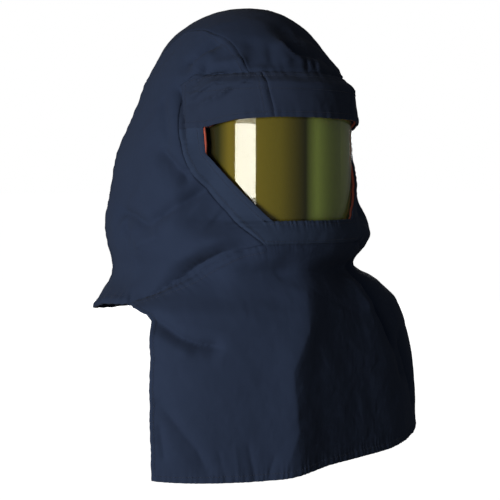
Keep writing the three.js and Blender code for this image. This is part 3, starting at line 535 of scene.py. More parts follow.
def bib_place(column, row):
    """Azimuth and depth on the bib: rows bend from its collar seam to its side and hem."""
    side = np.sign(column)
    count = np.abs(column)
    out = count / BIB_COLUMNS
    edge_azimuth = straight(BIB_EDGE, "row", row, "azimuth") * DEGREE
    edge_depth = straight(BIB_EDGE, "row", row, "depth") * HOOD_HEIGHT
    top, edge_top = collar_depth(count), collar_depth(BIB_COLUMNS)
    edge_share = (edge_depth - edge_top) / (HOOD_HEIGHT - edge_top)
    hem = smooth(HEM, "share", side * out, "depth") * HOOD_HEIGHT
    share = row / BIB_ROWS + (edge_share - row / BIB_ROWS) * out**EDGE_POWER
    top_spacing = path_azimuth(count, COLLAR_ROW) / path_azimuth(BIB_COLUMNS, COLLAR_ROW)
    spacing = top_spacing + (out - top_spacing) * rise(row, 0, SPREAD_ROWS)
    return side * edge_azimuth * spacing, top + (hem - top) * share


print("bib corner", [round(float(v), 2) for v in bib_place(np.array(24.0), np.array(16.0))])

# %% [markdown]
# ## Cutting the lattice finely
# Cloth is cut into cells about 2.5 mm wide, with a few much narrower ones beside each
# seam, because a seam's roll and its stitched groove are only 1 to 2 mm wide.

# %% Cuts along the columns and rows
STEPS = 6
STITCH_LINE = 0.46
NEAR_SEAM = (0.05, 0.11, 0.19, 0.29, 0.39, STITCH_LINE, 0.53, 0.62)
LEAST_CUT = 0.04
DIGITS = 6
TINY = 1e-6


def cuts(length, seams):
    """Even cuts of a whole number of steps, with closer ones on both sides of each seam."""
    even = np.linspace(0, length, length * STEPS + 1)
    keep = np.ones(len(even), bool)
    extra = []
    for seam in seams:
        keep &= (np.abs(even - seam) < TINY) | (np.abs(even - seam) > NEAR_SEAM[-1] + LEAST_CUT)
        extra += [seam + way * near for near in NEAR_SEAM for way in (-1, 1)]
    extra = np.array([e for e in extra if 0 <= e <= length])
    return np.unique(np.concatenate([even[keep], extra, np.array(seams, float)]).round(DIGITS))


FRONT_CUTS = cuts(FRONT_COLUMNS, (BAND_SEAM_COLUMN, GUSSET_COLUMNS, WINDOW_COLUMN, BORDER_COLUMN))
SIDE_CUTS = cuts(SIDE_COLUMNS, (0, SIDE_COLUMNS))
ROW_CUTS = cuts(COLLAR_ROW, (0, LEDGE_ROW, WINDOW_TOP_ROW, WINDOW_BOTTOM_ROW, COLLAR_ROW))
BIB_CUTS = cuts(BIB_ROWS, (0, BIB_ROWS))
HALF_CUTS = np.unique(np.concatenate([
    FRONT_CUTS, FRONT_COLUMNS + SIDE_CUTS, HALF_COLUMNS - FRONT_CUTS]).round(DIGITS))
print(len(HALF_CUTS), "columns on each half,", len(ROW_CUTS), "rows")

# %% [markdown]
# ## One lattice for the whole hood
# The crown's square patch, the body's rings and the bib share their border points, so
# neighbouring pieces meet on exactly the same line. Each cell then names its piece.

# %% Points and cells
def joined(*half):
    """Cuts of the wearer's right and left halves in one line, the right as negative."""
    both = np.concatenate(half)
    return np.unique(np.concatenate([-both, both]).round(DIGITS))


ring_columns = joined(HALF_CUTS)[1:]
crown_columns = joined(FRONT_CUTS)
bib_columns = ring_columns[np.abs(ring_columns) <= BIB_COLUMNS + TINY]


def body_surface(column, row):
    """Body from signed columns and rows: the right half has the left one's azimuths negative."""
    count = np.abs(column)
    return shell_points(np.sign(column) * body_azimuth(count, row), body_depth(count, row))


def crown_surface(column, along):
    """Crown as a part of a ball: its depth is the radius less the radius times the cosine
    of the angle from the top."""
    reach_at_brow = np.arccos(1 - BROW_DEPTH / CROWN_RADIUS)
    azimuth, reach = crown_place(across_crown(column, along), along)
    return shell_points(azimuth, CROWN_RADIUS * (1 - np.cos(reach * reach_at_brow)))


def bib_surface(column, row):
    """Bib from signed columns and its own rows, which start at the collar seam."""
    return shell_points(*bib_place(column, row))


ring_count = len(ring_columns)
body_points = body_surface(ring_columns[None, :], ROW_CUTS[:, None]).reshape(-1, 3)
body_index = np.arange(len(ROW_CUTS) * ring_count).reshape(len(ROW_CUTS), ring_count)


def on_ring(columns):
    """Places in the ring's own line of columns given by their signed numbers."""
    columns = np.where(np.abs(columns + HALF_COLUMNS) < TINY, HALF_COLUMNS, columns)
    return np.searchsorted(ring_columns, columns - 10 * TINY)


crown_along = 2 * SIDE_CUTS / SIDE_COLUMNS - 1
crown_inner = crown_surface(crown_columns[None, 1:-1], crown_along[1:-1, None]).reshape(-1, 3)
crown_index = np.zeros((len(SIDE_CUTS), len(crown_columns)), int)
crown_index[1:-1, 1:-1] = len(body_points) + np.arange(len(crown_inner)).reshape(
    len(SIDE_CUTS) - 2, len(crown_columns) - 2)
crown_index[0] = body_index[0, on_ring(crown_columns)]
back_side = np.where(crown_columns < 0, -1, 1)
crown_index[-1] = body_index[0, on_ring(back_side * (HALF_COLUMNS - np.abs(crown_columns)))]
crown_index[:, 0] = body_index[0, on_ring(-(FRONT_COLUMNS + SIDE_CUTS))]
crown_index[:, -1] = body_index[0, on_ring(FRONT_COLUMNS + SIDE_CUTS)]

bib_inner = bib_surface(bib_columns[None, :], BIB_CUTS[1:, None]).reshape(-1, 3)
bib_index = np.zeros((len(BIB_CUTS), len(bib_columns)), int)
bib_index[0] = body_index[-1, on_ring(bib_columns)]
bib_index[1:] = len(body_points) + len(crown_inner) + np.arange(len(bib_inner)).reshape(
    len(BIB_CUTS) - 1, len(bib_columns))
hood_points = np.concatenate([body_points, crown_inner, bib_inner])


def quads_of(index):
    """Four-sided cells of a grid of point numbers, facing outwards for rows that go down."""
    return np.stack([index[1:, :-1], index[1:, 1:], index[:-1, 1:], index[:-1, :-1]], axis=-1)


def middle_of(line):
    """Middles between the neighbours of a line of cuts."""
    return (line[1:] + line[:-1]) / 2


closed_index = np.concatenate([body_index[:, -1:], body_index], axis=1)
closed_columns = np.concatenate([[-HALF_COLUMNS], ring_columns])
body_column, body_row = np.meshgrid(middle_of(closed_columns), middle_of(ROW_CUTS))
crown_column = np.meshgrid(middle_of(crown_columns), middle_of(SIDE_CUTS))[0]
in_gusset = np.abs(body_column) > GUSSET_SEAM_COLUMN
in_side = (np.abs(body_column) > BORDER_COLUMN) & ~in_gusset
in_band = (body_row < WINDOW_TOP_ROW) & ~in_gusset & ~in_side
in_window = ((np.abs(body_column) < WINDOW_COLUMN) & (body_row > WINDOW_TOP_ROW)
             & (body_row < WINDOW_BOTTOM_ROW))
in_front = np.abs(body_column) < BAND_SEAM_COLUMN
in_border = ~(in_gusset | in_side | in_band | in_window)
body_cells = quads_of(closed_index)
crown_cells = quads_of(crown_index)[..., ::-1]
crown_in_gusset = np.abs(crown_column) < GUSSET_COLUMNS
cells_of = {
    "centre_gusset": [body_cells[in_gusset], crown_cells[crown_in_gusset]],
    "side_panel_right": [body_cells[in_side & (body_column < 0)],
                         crown_cells[~crown_in_gusset & (crown_column < 0)]],
    "side_panel_left": [body_cells[in_side & (body_column > 0)],
                        crown_cells[~crown_in_gusset & (crown_column > 0)]],
    "chest_bib": [quads_of(bib_index).reshape(-1, 4)],
    "brow_band_front": [body_cells[in_band & in_front]],
    "brow_band_right": [body_cells[in_band & ~in_front & (body_column < 0)]],
    "brow_band_left": [body_cells[in_band & ~in_front & (body_column > 0)]],
    "window_border": [body_cells[in_border]],
    "window": [body_cells[in_window]],
}
cells_of = {name: np.concatenate([part.reshape(-1, 4) for part in parts])
            for name, parts in cells_of.items()}
print({name: len(part) for name, part in cells_of.items()})

# %% [markdown]
# ## Outward directions
# Every cell's normal comes from the cross product of its diagonals, and a point's from
# the sum over its cells, so neighbouring pieces turn into each other without a step.

# %% Normals of the lattice
def point_normals(points, cells):
    """Sum, at each point, of the cross products of its cells' diagonals."""
    a, b, c, d = (points[cells[:, i]] for i in range(4))
    facing = np.cross(c - a, d - b)
    total = np.zeros_like(points)
    for i in range(4):
        np.add.at(total, cells[:, i], facing)
    return total / np.maximum(np.linalg.norm(total, axis=1, keepdims=True), TINY)


all_cells = np.concatenate(list(cells_of.values()))
hood_normals = point_normals(hood_points, all_cells)
print(len(hood_points), "points,", len(all_cells), "cells")

# %% [markdown]
# ## Seams
# Where two pieces are sewn, both allowances are pressed to one side and stitched down.
# That side stands a little higher as far as the stitching, the seam itself sinks, and
# the thread pulls the cloth into small puckers. Offsets are counted in lattice cells,
# about 12 mm wide, from the seam towards its raised side.

# %% Relief beside the seams
SEAM_DROP, SEAM_WIDTH = 1.5, 0.11
STITCH_DROP, STITCH_WIDTH = 0.55, 0.06
RAISE, RAISE_FADE = 0.75, 0.16
PUCKER, PUCKER_REACH, PUCKERS_PER_CELL = 0.38, 0.75, 1.3
PUCKER_DRIFT, DRIFT_TURN = 1.7, 2.3
NEAR_ROWS = 4
drop = np.zeros(len(hood_points))
raised = np.zeros(len(hood_points))
pucker = np.zeros(len(hood_points))


def sew(index, offset, along, where=True, raise_to=1.0, depth=1.0, gather=1.0):
    """Adds a seam: a bell-shaped drop at the seam and at the stitching, a raised strip
    between them, and puckers as a drifting sine of the place along it, which fade away
    from the seam. The last three numbers scale the strip, the drop and the puckers."""
    offset, along, where = np.broadcast_arrays(offset, along, where)
    point = index[where]
    away, place = offset[where], along[where]
    stitched = np.exp(-((away - STITCH_LINE) / STITCH_WIDTH) ** 2) * raise_to
    seam = depth * SEAM_DROP * np.exp(-((away / SEAM_WIDTH) ** 2))
    strip = RAISE * raise_to * (away >= 0) * (1 - rise(away, STITCH_LINE, STITCH_LINE + RAISE_FADE))
    wave = np.sin(2 * np.pi * PUCKERS_PER_CELL * place + PUCKER_DRIFT * np.sin(DRIFT_TURN * place))
    np.maximum.at(drop, point, seam + STITCH_DROP * stitched)
    np.maximum.at(raised, point, strip)
    strength = gather * PUCKER * np.exp(-((away / PUCKER_REACH) ** 2))
    np.add.at(pucker, point, strength * wave)


column, row = ring_columns[None, :], ROW_CUTS[:, None]
across = np.abs(column)
front = across <= BORDER_COLUMN + TINY
above_window = row <= WINDOW_TOP_ROW + TINY
beside_window = (row >= WINDOW_TOP_ROW - TINY) & (row <= WINDOW_BOTTOM_ROW + TINY)
below_window = (across <= WINDOW_COLUMN + STITCH_LINE + TINY) & (row > UPRIGHT_ROW)
at_collar = row > WINDOW_BOTTOM_ROW
sew(body_index, across - BAND_SEAM_COLUMN, row, above_window, gather=0.5)
sew(body_index, BORDER_COLUMN - across, row, across > WINDOW_COLUMN)
sew(body_index, across - GUSSET_SEAM_COLUMN, row, across > BIB_COLUMNS)
sew(body_index, row, across, front & above_window, depth=1.3)
sew(body_index, WINDOW_TOP_ROW - row, across, front & above_window, depth=0.5)
sew(body_index, across - WINDOW_COLUMN, row, beside_window & front, depth=0.5)
sew(body_index, row - WINDOW_BOTTOM_ROW, across, below_window, depth=0.5)
sew(body_index, COLLAR_ROW - row, across, front & at_collar, gather=0.2)
sew(body_index, COLLAR_ROW - row, across, ~front & at_collar, raise_to=0.0)
sew(body_index, COLLAR_ROW - row, across, (across > BIB_COLUMNS) & at_collar, depth=0.3)
crown_across, crown_row = np.abs(crown_columns)[None, :], SIDE_CUTS[:, None]
sew(crown_index, crown_across - GUSSET_COLUMNS, crown_row)
sew(crown_index, crown_row, crown_across, crown_row < NEAR_ROWS, raise_to=0.0, depth=1.3)
bib_across, bib_row = np.abs(bib_columns)[None, :], BIB_CUTS[:, None]
bib_front, bib_top = bib_across <= BORDER_COLUMN, bib_row < NEAR_ROWS
sew(bib_index, bib_row, bib_across, ~bib_front & bib_top)
sew(bib_index, bib_row, bib_across, bib_front & bib_top, raise_to=0.0, gather=0.2)
sew(bib_index, BIB_ROWS - bib_row, bib_across, depth=0.3)
sew(bib_index, BIB_COLUMNS - bib_across, bib_row, depth=0.3)
hood_points = hood_points + hood_normals * (raised - drop + pucker)[:, None]
hood_normals = point_normals(hood_points, all_cells)
print("seams sink up to", round(float(drop.max()), 2), "mm")

# %% [markdown]
# ## Walls of cloth
# A sewn piece is a sheet with a thickness: the outer face, the same face moved inwards by
# the cloth, and a strip round the rim that closes it. A Solidify modifier makes such a
# wall too, but on a curved form it moves each rim its own way, and neighbours would then
# cross. Here the rim is drawn in by half a seam gap along directions that both pieces
# share, so that they lie side by side without touching.

# %% Wall from cells
CLOTH_CREASE = 60 * DEGREE


def rim_of(cells):
    """Edges that only one cell uses, in that cell's own direction."""
    start = cells.reshape(-1)
    end = np.roll(cells, -1, axis=1).reshape(-1)
    size = start.max() + 1
    alone = ~np.isin(start * size + end, end * size + start)
    return start[alone], end[alone]


def inset_moves(points, normals, start, end, distance):
    """Move of each rim point, square to the rim and along the cloth, by a distance."""
    run = points[end] - points[start]
    total = np.zeros_like(points)
    count = np.zeros(len(points))
    for corner in (start, end):
        inward = np.cross(normals[corner], run)
        inward /= np.maximum(np.linalg.norm(inward, axis=1, keepdims=True), TINY)
        np.add.at(total, corner, inward)
        np.add.at(count, corner, 1)
    return total * (distance * count / np.maximum((total**2).sum(axis=1), 1))[:, None]


def mesh_object(name, points, faces, material, uv=None, crease_angle=None):
    """Mesh of points in millimetres and faces of point numbers, riding on the root body."""
    mesh = bpy.data.meshes.new(name)
    mesh.from_pydata((points * MM).tolist(), [], faces if isinstance(faces, list) else faces.tolist())
    mesh.polygons.foreach_set("use_smooth", np.ones(len(mesh.polygons), bool))
    if uv is not None:
        corner = np.zeros(len(mesh.loops), int)
        mesh.loops.foreach_get("vertex_index", corner)
        layer = mesh.uv_layers.new(name="cloth")
        layer.data.foreach_set("uv", uv[corner].reshape(-1))
    if crease_angle is not None:
        mesh.set_sharp_from_angle(angle=crease_angle)
    mesh.update()
    mesh.validate()
    obj = bpy.data.objects.new(name, mesh)
    bpy.context.collection.objects.link(obj)
    mesh.materials.append(material)
    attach(obj, ROOT)
    return obj


def cloth_wall(name, points, normals, uv, material):
    """Outer face, inner face a cloth's thickness inside it, and the rim between them. It
    also gives the outer face's area in square metres."""
    cells = cells_of[name]
    start, end = rim_of(cells)
    outer = points + inset_moves(points, normals, start, end, SEAM_GAP / 2)
    used, number = np.unique(cells, return_inverse=True)
    number = number.reshape(cells.shape)
    place = np.full(len(points), -1)
    place[used] = np.arange(len(used))
    count = len(used)
    both = np.concatenate([outer[used], outer[used] - normals[used] * CLOTH])
    rim = np.stack([place[end], place[start], place[start] + count, place[end] + count], axis=1)
    faces = np.concatenate([number, number[:, ::-1] + count, rim])
    both_uv = np.concatenate([uv[used], uv[used]])
    wall = mesh_object(name + "_cloth", both, faces, material, both_uv, CLOTH_CREASE)
    area = face_area(both * MM, number)
    print(name, len(faces), "faces,", round(area, 4), "m2 of cloth")
    return wall, area


def face_area(points, quads):
    """Half the length of the cross product of each cell's diagonals, added up."""
    a, b, c, d = (points[quads[:, i]] for i in range(4))
    return float(np.linalg.norm(np.cross(c - a, d - b), axis=1).sum() / 2)


print("walls are", CLOTH, "mm thick")

# %% [markdown]
# ## Colours and nodes
# Colours are picked as sRGB hex, as a screen shows them, and turned to the linear values
# that a shader works in. One helper adds a node with its settings and its links.

# %% Colour and node helpers
def linear(hex_colour):
    """sRGB to linear: the low values divided by 12.92, the rest by a 2.4 power."""
    values = np.array([int(hex_colour[i:i + 2], 16) for i in (1, 3, 5)]) / 255
    straightened = np.where(values <= 0.04045, values / 12.92, ((values + 0.055) / 1.055) ** 2.4)
    return (*(float(v) for v in straightened), 1.0)


def node(tree, kind, links=None, **settings):
    """Adds a node. Settings are its attributes or input values, and links give the output
    that each input reads. An underscore stands for the space in an input's name."""
    made = tree.nodes.new(kind)
    for key, value in settings.items():
        if hasattr(made, key):
            setattr(made, key, value)
        else:
            made.inputs[key.replace("_", " ")].default_value = value
    for key, source in (links or {}).items():
        tree.links.new(source, made.inputs[key])
    return made


def new_material(name):
    """An empty node material with its output, and its tree."""
    material = bpy.data.materials.new(name)
    material.use_nodes = True
    tree = material.node_tree
    tree.nodes.clear()
    return material, tree


print("navy, linear", [round(v, 4) for v in linear("#2b3346")[:3]])

# %% [markdown]
# ## Arc-rated twill
# The hood is cotton-rich twill with a flame-retardant finish, dyed navy: matt, with a
# slight sheen of fine hairs at grazing angles. A twill shows steep diagonal ribs. The
# real ones are about 0.5 mm apart, too fine for this picture, so they are drawn 0.75 mm
# apart. A wave texture gives the ribs, and two soft noises the slubs of the yarn, 1.4 mm
# long, and the cloudy dye, 70 mm across. The band and the border differ a little in tone
# from the side panels, and the gusset has a darker navy, which is painted shade over the
# crown. All values are in millimetres.

# %% Twill material
RIB_DRAWN, RIB_TURN = 0.75, 63 * DEGREE
SLUB, CLOUD = 1.43, 71.4
WAVE_LENGTH = np.pi / 10  # a wave texture of scale 1 repeats after this length


def twill(name, colour, faded):
    """Navy twill on the piece's own cloth UV, whose unit is one metre of cloth."""
    material, tree = new_material(name)
    place = node(tree, "ShaderNodeUVMap", uv_map="cloth")
    turned = node(tree, "ShaderNodeMapping", {"Vector": place.outputs["UV"]}, Rotation=(0, 0, RIB_TURN))
    ribs = node(tree, "ShaderNodeTexWave", {"Vector": turned.outputs["Vector"]},
                Scale=WAVE_LENGTH / (RIB_DRAWN * MM), Distortion=1.5, Detail=2.0, Detail_Scale=2.0)
    slubs = node(tree, "ShaderNodeTexNoise", {"Vector": place.outputs["UV"]},
                 Scale=1 / (SLUB * MM), Detail=3.0)
    clouds = node(tree, "ShaderNodeTexNoise", {"Vector": place.outputs["UV"]},
                  Scale=1 / (CLOUD * MM), Detail=5.0)
    tone = node(tree, "ShaderNodeMix", {"Factor": clouds.outputs["Fac"]}, data_type="RGBA")
    tone.inputs["A"].default_value = linear(colour)
    tone.inputs["B"].default_value = linear(faded)
    height = node(tree, "ShaderNodeMath", {0: ribs.outputs["Fac"], 1: slubs.outputs["Fac"]},
                  operation="ADD")
    bump = node(tree, "ShaderNodeBump", {"Height": height.outputs["Value"]}, Strength=0.35, Distance=0.0003)
    shader = node(tree, "ShaderNodeBsdfPrincipled",
                  {"Base Color": tone.outputs["Result"], "Normal": bump.outputs["Normal"]}, Roughness=0.9)
    shader.inputs["Sheen Weight"].default_value = 0.02
    shader.inputs["Sheen Roughness"].default_value = 0.5
    shader.inputs["Specular IOR Level"].default_value = 0.12
    node(tree, "ShaderNodeOutputMaterial", {"Surface": shader.outputs["BSDF"]})
    return material


navy_twill = twill("navy_fr_twill", "#273146", "#2c374d")
band_twill = twill("navy_fr_twill_band", "#283145", "#2c364a")
# the gusset's darker navy is painted shade, meant for the crown's top, and it darkens the strip down the
# back as well
painted_shade_gusset_twill = twill("navy_fr_twill_gusset_painted_shade", "#222b3e", "#273145")
border_twill = twill("navy_fr_twill_border", "#2c374c", "#313d53")
print("ribs drawn", RIB_DRAWN, "mm apart")

# %% [markdown]
# ## Orange cord and amber shield
# The window's edge is bound with a dyed polyester cord, whose strands lie 0.8 mm apart.
# The shield is polycarbonate, moulded clear and smooth, with an amber-green dye that takes
# up the arc's light. It could be glass-like with a full transmission, but the tint that
# the eye sees is the light that comes back from it, so the sheet has a tinted face and is
# partly see-through by its alpha, which also costs little time. Across the sheet that face
# also carries painted light and shade: a painted shadow of the border at the wearer's right
# end, painted golden light, a darker painted band, and a brighter green towards the left
# end that is a painted reflection. The stitching is spun thread of the cloth's own colour.

# %% Cord and shield materials
STRAND, FIBRE = 0.8, 0.4
# share of the way from the shield's right end to its left, and the colour there: the
# sheet's amber-green tint with a painted shadow, painted golden light, a darker painted
# band and a green painted reflection
SHIELD_TINTS_AND_PAINTED_LIGHT = (
    (0.050, "#3c371f"),
    (0.080, "#3f4018"),
    (0.130, "#9c8a2d"),
    (0.340, "#8a7e28"),
    (0.445, "#3a3b1c"),
    (0.500, "#c8e06c"),
    (0.800, "#96a35c"),
)


def orange_cord_finish():
    """Orange cord with strands drawn by a slanting wave on its UV, in millimetres."""
    material, tree = new_material("orange_polyester_cord")
    place = node(tree, "ShaderNodeUVMap", uv_map="cloth")
    strands = node(tree, "ShaderNodeTexWave", {"Vector": place.outputs["UV"]},
                   bands_direction="DIAGONAL", Scale=WAVE_LENGTH / STRAND)
    tone = node(tree, "ShaderNodeMix", {"Factor": strands.outputs["Fac"]}, data_type="RGBA")
    tone.inputs["A"].default_value = linear("#9c3d2a")
    tone.inputs["B"].default_value = linear("#c9604a")
    bump = node(tree, "ShaderNodeBump", {"Height": strands.outputs["Fac"]}, Strength=0.4, Distance=0.0003)
    shader = node(tree, "ShaderNodeBsdfPrincipled",
                  {"Base Color": tone.outputs["Result"], "Normal": bump.outputs["Normal"]}, Roughness=0.7)
    node(tree, "ShaderNodeOutputMaterial", {"Surface": shader.outputs["BSDF"]})
    return material


def shield_with_painted_light():
    """Tinted hard-coated polycarbonate, see-through by its alpha. Its colour across the sheet
    is its amber-green tint with painted light and shade: a painted shadow at the right end,
    painted golden light, a darker painted band and a green painted reflection at the left."""
    material, tree = new_material("amber_polycarbonate_with_painted_light")
    place = node(tree, "ShaderNodeUVMap", uv_map="cloth")
    across = node(tree, "ShaderNodeSeparateXYZ", {"Vector": place.outputs["UV"]})
    # the ramp paints a shadow, golden light and a green reflection over the sheet's own tint
    tint = node(tree, "ShaderNodeValToRGB", {"Fac": across.outputs["X"]})
    ramp = tint.color_ramp
    while len(ramp.elements) < len(SHIELD_TINTS_AND_PAINTED_LIGHT):
        ramp.elements.new(0.5)
    for element, (position, colour) in zip(ramp.elements, SHIELD_TINTS_AND_PAINTED_LIGHT):
        element.position = position
        element.color = linear(colour)
    shader = node(tree, "ShaderNodeBsdfPrincipled", {"Base Color": tint.outputs["Color"]},
                  Roughness=0.04, IOR=1.58)
    shader.inputs["Specular Tint"].default_value = linear("#f8f5e2")
    shader.inputs["Specular IOR Level"].default_value = 0.9
    shader.inputs["Coat Weight"].default_value = 1.0
    shader.inputs["Coat Roughness"].default_value = 0.03
    shader.inputs["Alpha"].default_value = 0.42
    node(tree, "ShaderNodeOutputMaterial", {"Surface": shader.outputs["BSDF"]})
    return material


def thread_finish():
    """Navy spun thread, a little paler and smoother than the cloth."""
    material, tree = new_material("navy_aramid_thread")
    place = node(tree, "ShaderNodeTexCoord")
    fibres = node(tree, "ShaderNodeTexNoise", {"Vector": place.outputs["Object"]},
                  Scale=1 / (FIBRE * MM))
    tone = node(tree, "ShaderNodeMix", {"Factor": fibres.outputs["Fac"]}, data_type="RGBA")
    tone.inputs["A"].default_value = linear("#222a3c")
    tone.inputs["B"].default_value = linear("#2b3449")
    shader = node(tree, "ShaderNodeBsdfPrincipled", {"Base Color": tone.outputs["Result"]}, Roughness=0.7)
    node(tree, "ShaderNodeOutputMaterial", {"Surface": shader.outputs["BSDF"]})
    return material


thread_material = thread_finish()
cord_material = orange_cord_finish()
shield_material = shield_with_painted_light()
print("materials", [material.name for material in bpy.data.materials])

# %% [markdown]
# ## Cloth pieces
# All walls come from the one lattice. The cloth UV is measured on the surface, so the
# twill keeps its scale: azimuth arc lengths one way and depth the other. Each piece is
# listed with its material and the rectangle that its pattern piece is cut from.

# %% Build the cloth
def cloth_uv(points):
    """Metres round the hood against metres down it, from azimuth and height."""
    turn = np.arctan2(points[:, 0], -points[:, 1])
    return np.stack([turn * BROW_HALF_LENGTH * MM, points[:, 2] * MM], axis=1)


CLOTH_PIECES = (
    ("centre_gusset", painted_shade_gusset_twill, (0.37, 0.66)),
    ("side_panel_right", navy_twill, (0.26, 0.40)),
    ("side_panel_left", navy_twill, (0.26, 0.40)),
    ("chest_bib", navy_twill, (0.46, 0.30)),
    ("brow_band_front", band_twill, (0.125, 0.065)),
    ("brow_band_right", band_twill, (0.13, 0.065)),
    ("brow_band_left", band_twill, (0.13, 0.065)),
    ("window_border", border_twill, (0.26, 0.16)),
)
hood_uv = cloth_uv(hood_points)
cloth_area = 0.0
for piece_name, piece_material, flat_size in CLOTH_PIECES:
    piece, piece_area = cloth_wall(piece_name, hood_points, hood_normals, hood_uv, piece_material)
    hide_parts(piece_name)
    cloth_area += piece_area
print("cloth in all", round(cloth_area, 2), "m2")

# %% [markdown]
# ## Stitching
# Lockstitch shows as short bars of thread in a groove. It could be a bump on the cloth,
# but a mesh keeps its shape in every view. Each bar is the same small capsule of a few
# faces, laid along a line of the lattice at an even pitch. Real bars are 3 mm long and
# 0.3 mm thick, and here they are a little thicker, to be seen.

# %% Lay the stitches
STITCH_PITCH, STITCH_LONG, THREAD_RADIUS = 3.4, 2.5, 0.34
BAR_SIDES = 6
bar_turn = np.linspace(0, 2 * np.pi, BAR_SIDES, endpoint=False)
bar_rings = np.array([(-0.5, 0.35), (-0.32, 1.0), (0.32, 1.0), (0.5, 0.35)])
bar_along = np.repeat(bar_rings[:, 0], BAR_SIDES)
bar_across = np.outer(bar_rings[:, 1], np.cos(bar_turn)).reshape(-1)
bar_up = np.outer(bar_rings[:, 1], np.sin(bar_turn)).reshape(-1)


def bar_faces():
    """Sides of the capsule between its rings, as triangles and quads with closed ends."""
    number = np.arange(len(bar_rings) * BAR_SIDES).reshape(len(bar_rings), BAR_SIDES)
    onward = np.roll(number, -1, axis=1)
    quads = np.stack([number[:-1], onward[:-1], onward[1:], number[1:]], axis=-1).reshape(-1, 4)
    return quads, number[0][::-1], number[-1]


def read_along(values, run, place):
    """Rows of values read at places along a run, straight between its stops."""
    return np.stack([np.interp(place, run, values[:, k]) for k in range(3)], axis=1)


def stitch_line(line):
    """Bars along a line of lattice points, at even steps of its length."""
    path, up = hood_points[line], hood_normals[line]
    steps = np.linalg.norm(np.diff(path, axis=0), axis=1)
    run = np.concatenate([[0], np.cumsum(steps)])
    at = np.arange(STITCH_PITCH, run[-1] - STITCH_PITCH, STITCH_PITCH)
    middle, lifted = read_along(path, run, at), read_along(up, run, at)
    ahead = read_along(path, run, at + STITCH_LONG / 2) - read_along(path, run, at - STITCH_LONG / 2)
    ahead /= np.linalg.norm(ahead, axis=1, keepdims=True)
    side = np.cross(lifted, ahead)
    side /= np.linalg.norm(side, axis=1, keepdims=True)
    above = np.cross(ahead, side)
    centre = middle + above * THREAD_RADIUS / 2
    return (centre[:, None] + STITCH_LONG * bar_along[None, :, None] * ahead[:, None]
            + THREAD_RADIUS * (bar_across[None, :, None] * side[:, None]
                               + bar_up[None, :, None] * above[:, None]))


def nearest(line, value):
    """Place in a sorted line of cuts of the one nearest a value."""
    return int(np.abs(line - value).argmin())


def between(line, low, high):
    """Places in a line of cuts from a low value to a high one."""
    return np.flatnonzero((line >= low - TINY) & (line <= high + TINY))


# column of each upright row of stitches, and the rows where it starts and ends
UPRIGHT_STITCHES = (
    (BAND_SEAM_COLUMN + STITCH_LINE, 0.1, WINDOW_TOP_ROW - 0.1),
    (BORDER_COLUMN - STITCH_LINE, 0.2, COLLAR_ROW - 0.2),
    (GUSSET_SEAM_COLUMN + STITCH_LINE, 0.1, COLLAR_ROW - 0.3),
    (WINDOW_COLUMN + STITCH_LINE, WINDOW_TOP_ROW, WINDOW_BOTTOM_ROW + STITCH_LINE),
)
LEVEL_STITCHES = (STITCH_LINE, LEDGE_ROW + 0.62, WINDOW_TOP_ROW - STITCH_LINE, COLLAR_ROW - STITCH_LINE)
TAIL_START, TAIL_END = BIB_COLUMNS + 0.3, HALF_COLUMNS - 0.01
stitch_paths = []
for way in (-1, 1):
    for line, first, last in UPRIGHT_STITCHES:
        stitch_paths.append(body_index[between(ROW_CUTS, first, last), nearest(ring_columns, way * line)])
    stitch_paths.append(crown_index[1:-1, nearest(crown_columns, way * (GUSSET_COLUMNS + STITCH_LINE))])
    stitch_paths.append(bib_index[2:-1, nearest(bib_columns, way * (BIB_COLUMNS - STITCH_LINE))])
    shoulder = between(way * bib_columns, BORDER_COLUMN, BIB_COLUMNS - STITCH_LINE)
    stitch_paths.append(bib_index[nearest(BIB_CUTS, STITCH_LINE), shoulder])
    tail = between(way * ring_columns, TAIL_START, TAIL_END)
    stitch_paths.append(body_index[nearest(ROW_CUTS, COLLAR_ROW - STITCH_LINE), tail])
across_front = between(ring_columns, -BORDER_COLUMN + STITCH_LINE, BORDER_COLUMN - STITCH_LINE)
for level in LEVEL_STITCHES:
    stitch_paths.append(body_index[nearest(ROW_CUTS, level), across_front])
under_window = between(ring_columns, -WINDOW_COLUMN - STITCH_LINE, WINDOW_COLUMN + STITCH_LINE)
stitch_paths.append(body_index[nearest(ROW_CUTS, WINDOW_BOTTOM_ROW + STITCH_LINE), under_window])
stitch_paths.append(bib_index[nearest(BIB_CUTS, BIB_ROWS - STITCH_LINE), 2:-2])
bars = np.concatenate([stitch_line(line) for line in stitch_paths])
quads, near_end, far_end = bar_faces()
shift = (np.arange(len(bars)) * len(bar_along))[:, None]
stitch_faces = ((quads[None] + shift[:, :, None]).reshape(-1, 4).tolist()
                + (near_end[None] + shift).tolist() + (far_end[None] + shift).tolist())
stitching = mesh_object("seam_stitching", bars.reshape(-1, 3), stitch_faces, thread_material)
print(len(bars), "stitches")

# %% [markdown]
# ## Face shield
# A flat sheet of polycarbonate is bent to a part of a cylinder. It could be a thickened
# plane with a Bend modifier, but its radius and place are known, so the same bend is drawn
# as a closed outline carried round the arc, with its edges slightly rounded.

# %% Bend the shield
SHIELD_CUTS = 96
EDGE_ROUND = 0.6
SHIELD_CREASE = 35 * DEGREE


def shield_section():
    """Closed outline of the sheet, cut upright: four straight sides, rounded corners."""
    outer, inner = SHIELD_RADIUS, SHIELD_RADIUS - SHIELD_THICKNESS
    turns = np.linspace(0, np.pi / 2, 4)
    corners = []
    for radius, depth, start in ((outer, SHIELD_TOP, 0), (inner, SHIELD_TOP, 1),
                                 (inner, SHIELD_BOTTOM, 2), (outer, SHIELD_BOTTOM, 3)):
        middle = np.array([radius + (-EDGE_ROUND if radius == outer else EDGE_ROUND),
                           -depth + (-EDGE_ROUND if depth == SHIELD_TOP else EDGE_ROUND)])
        turn = turns + start * np.pi / 2
        corners.append(middle + EDGE_ROUND * np.stack([np.cos(turn), np.sin(turn)], axis=1))
    return np.concatenate(corners)


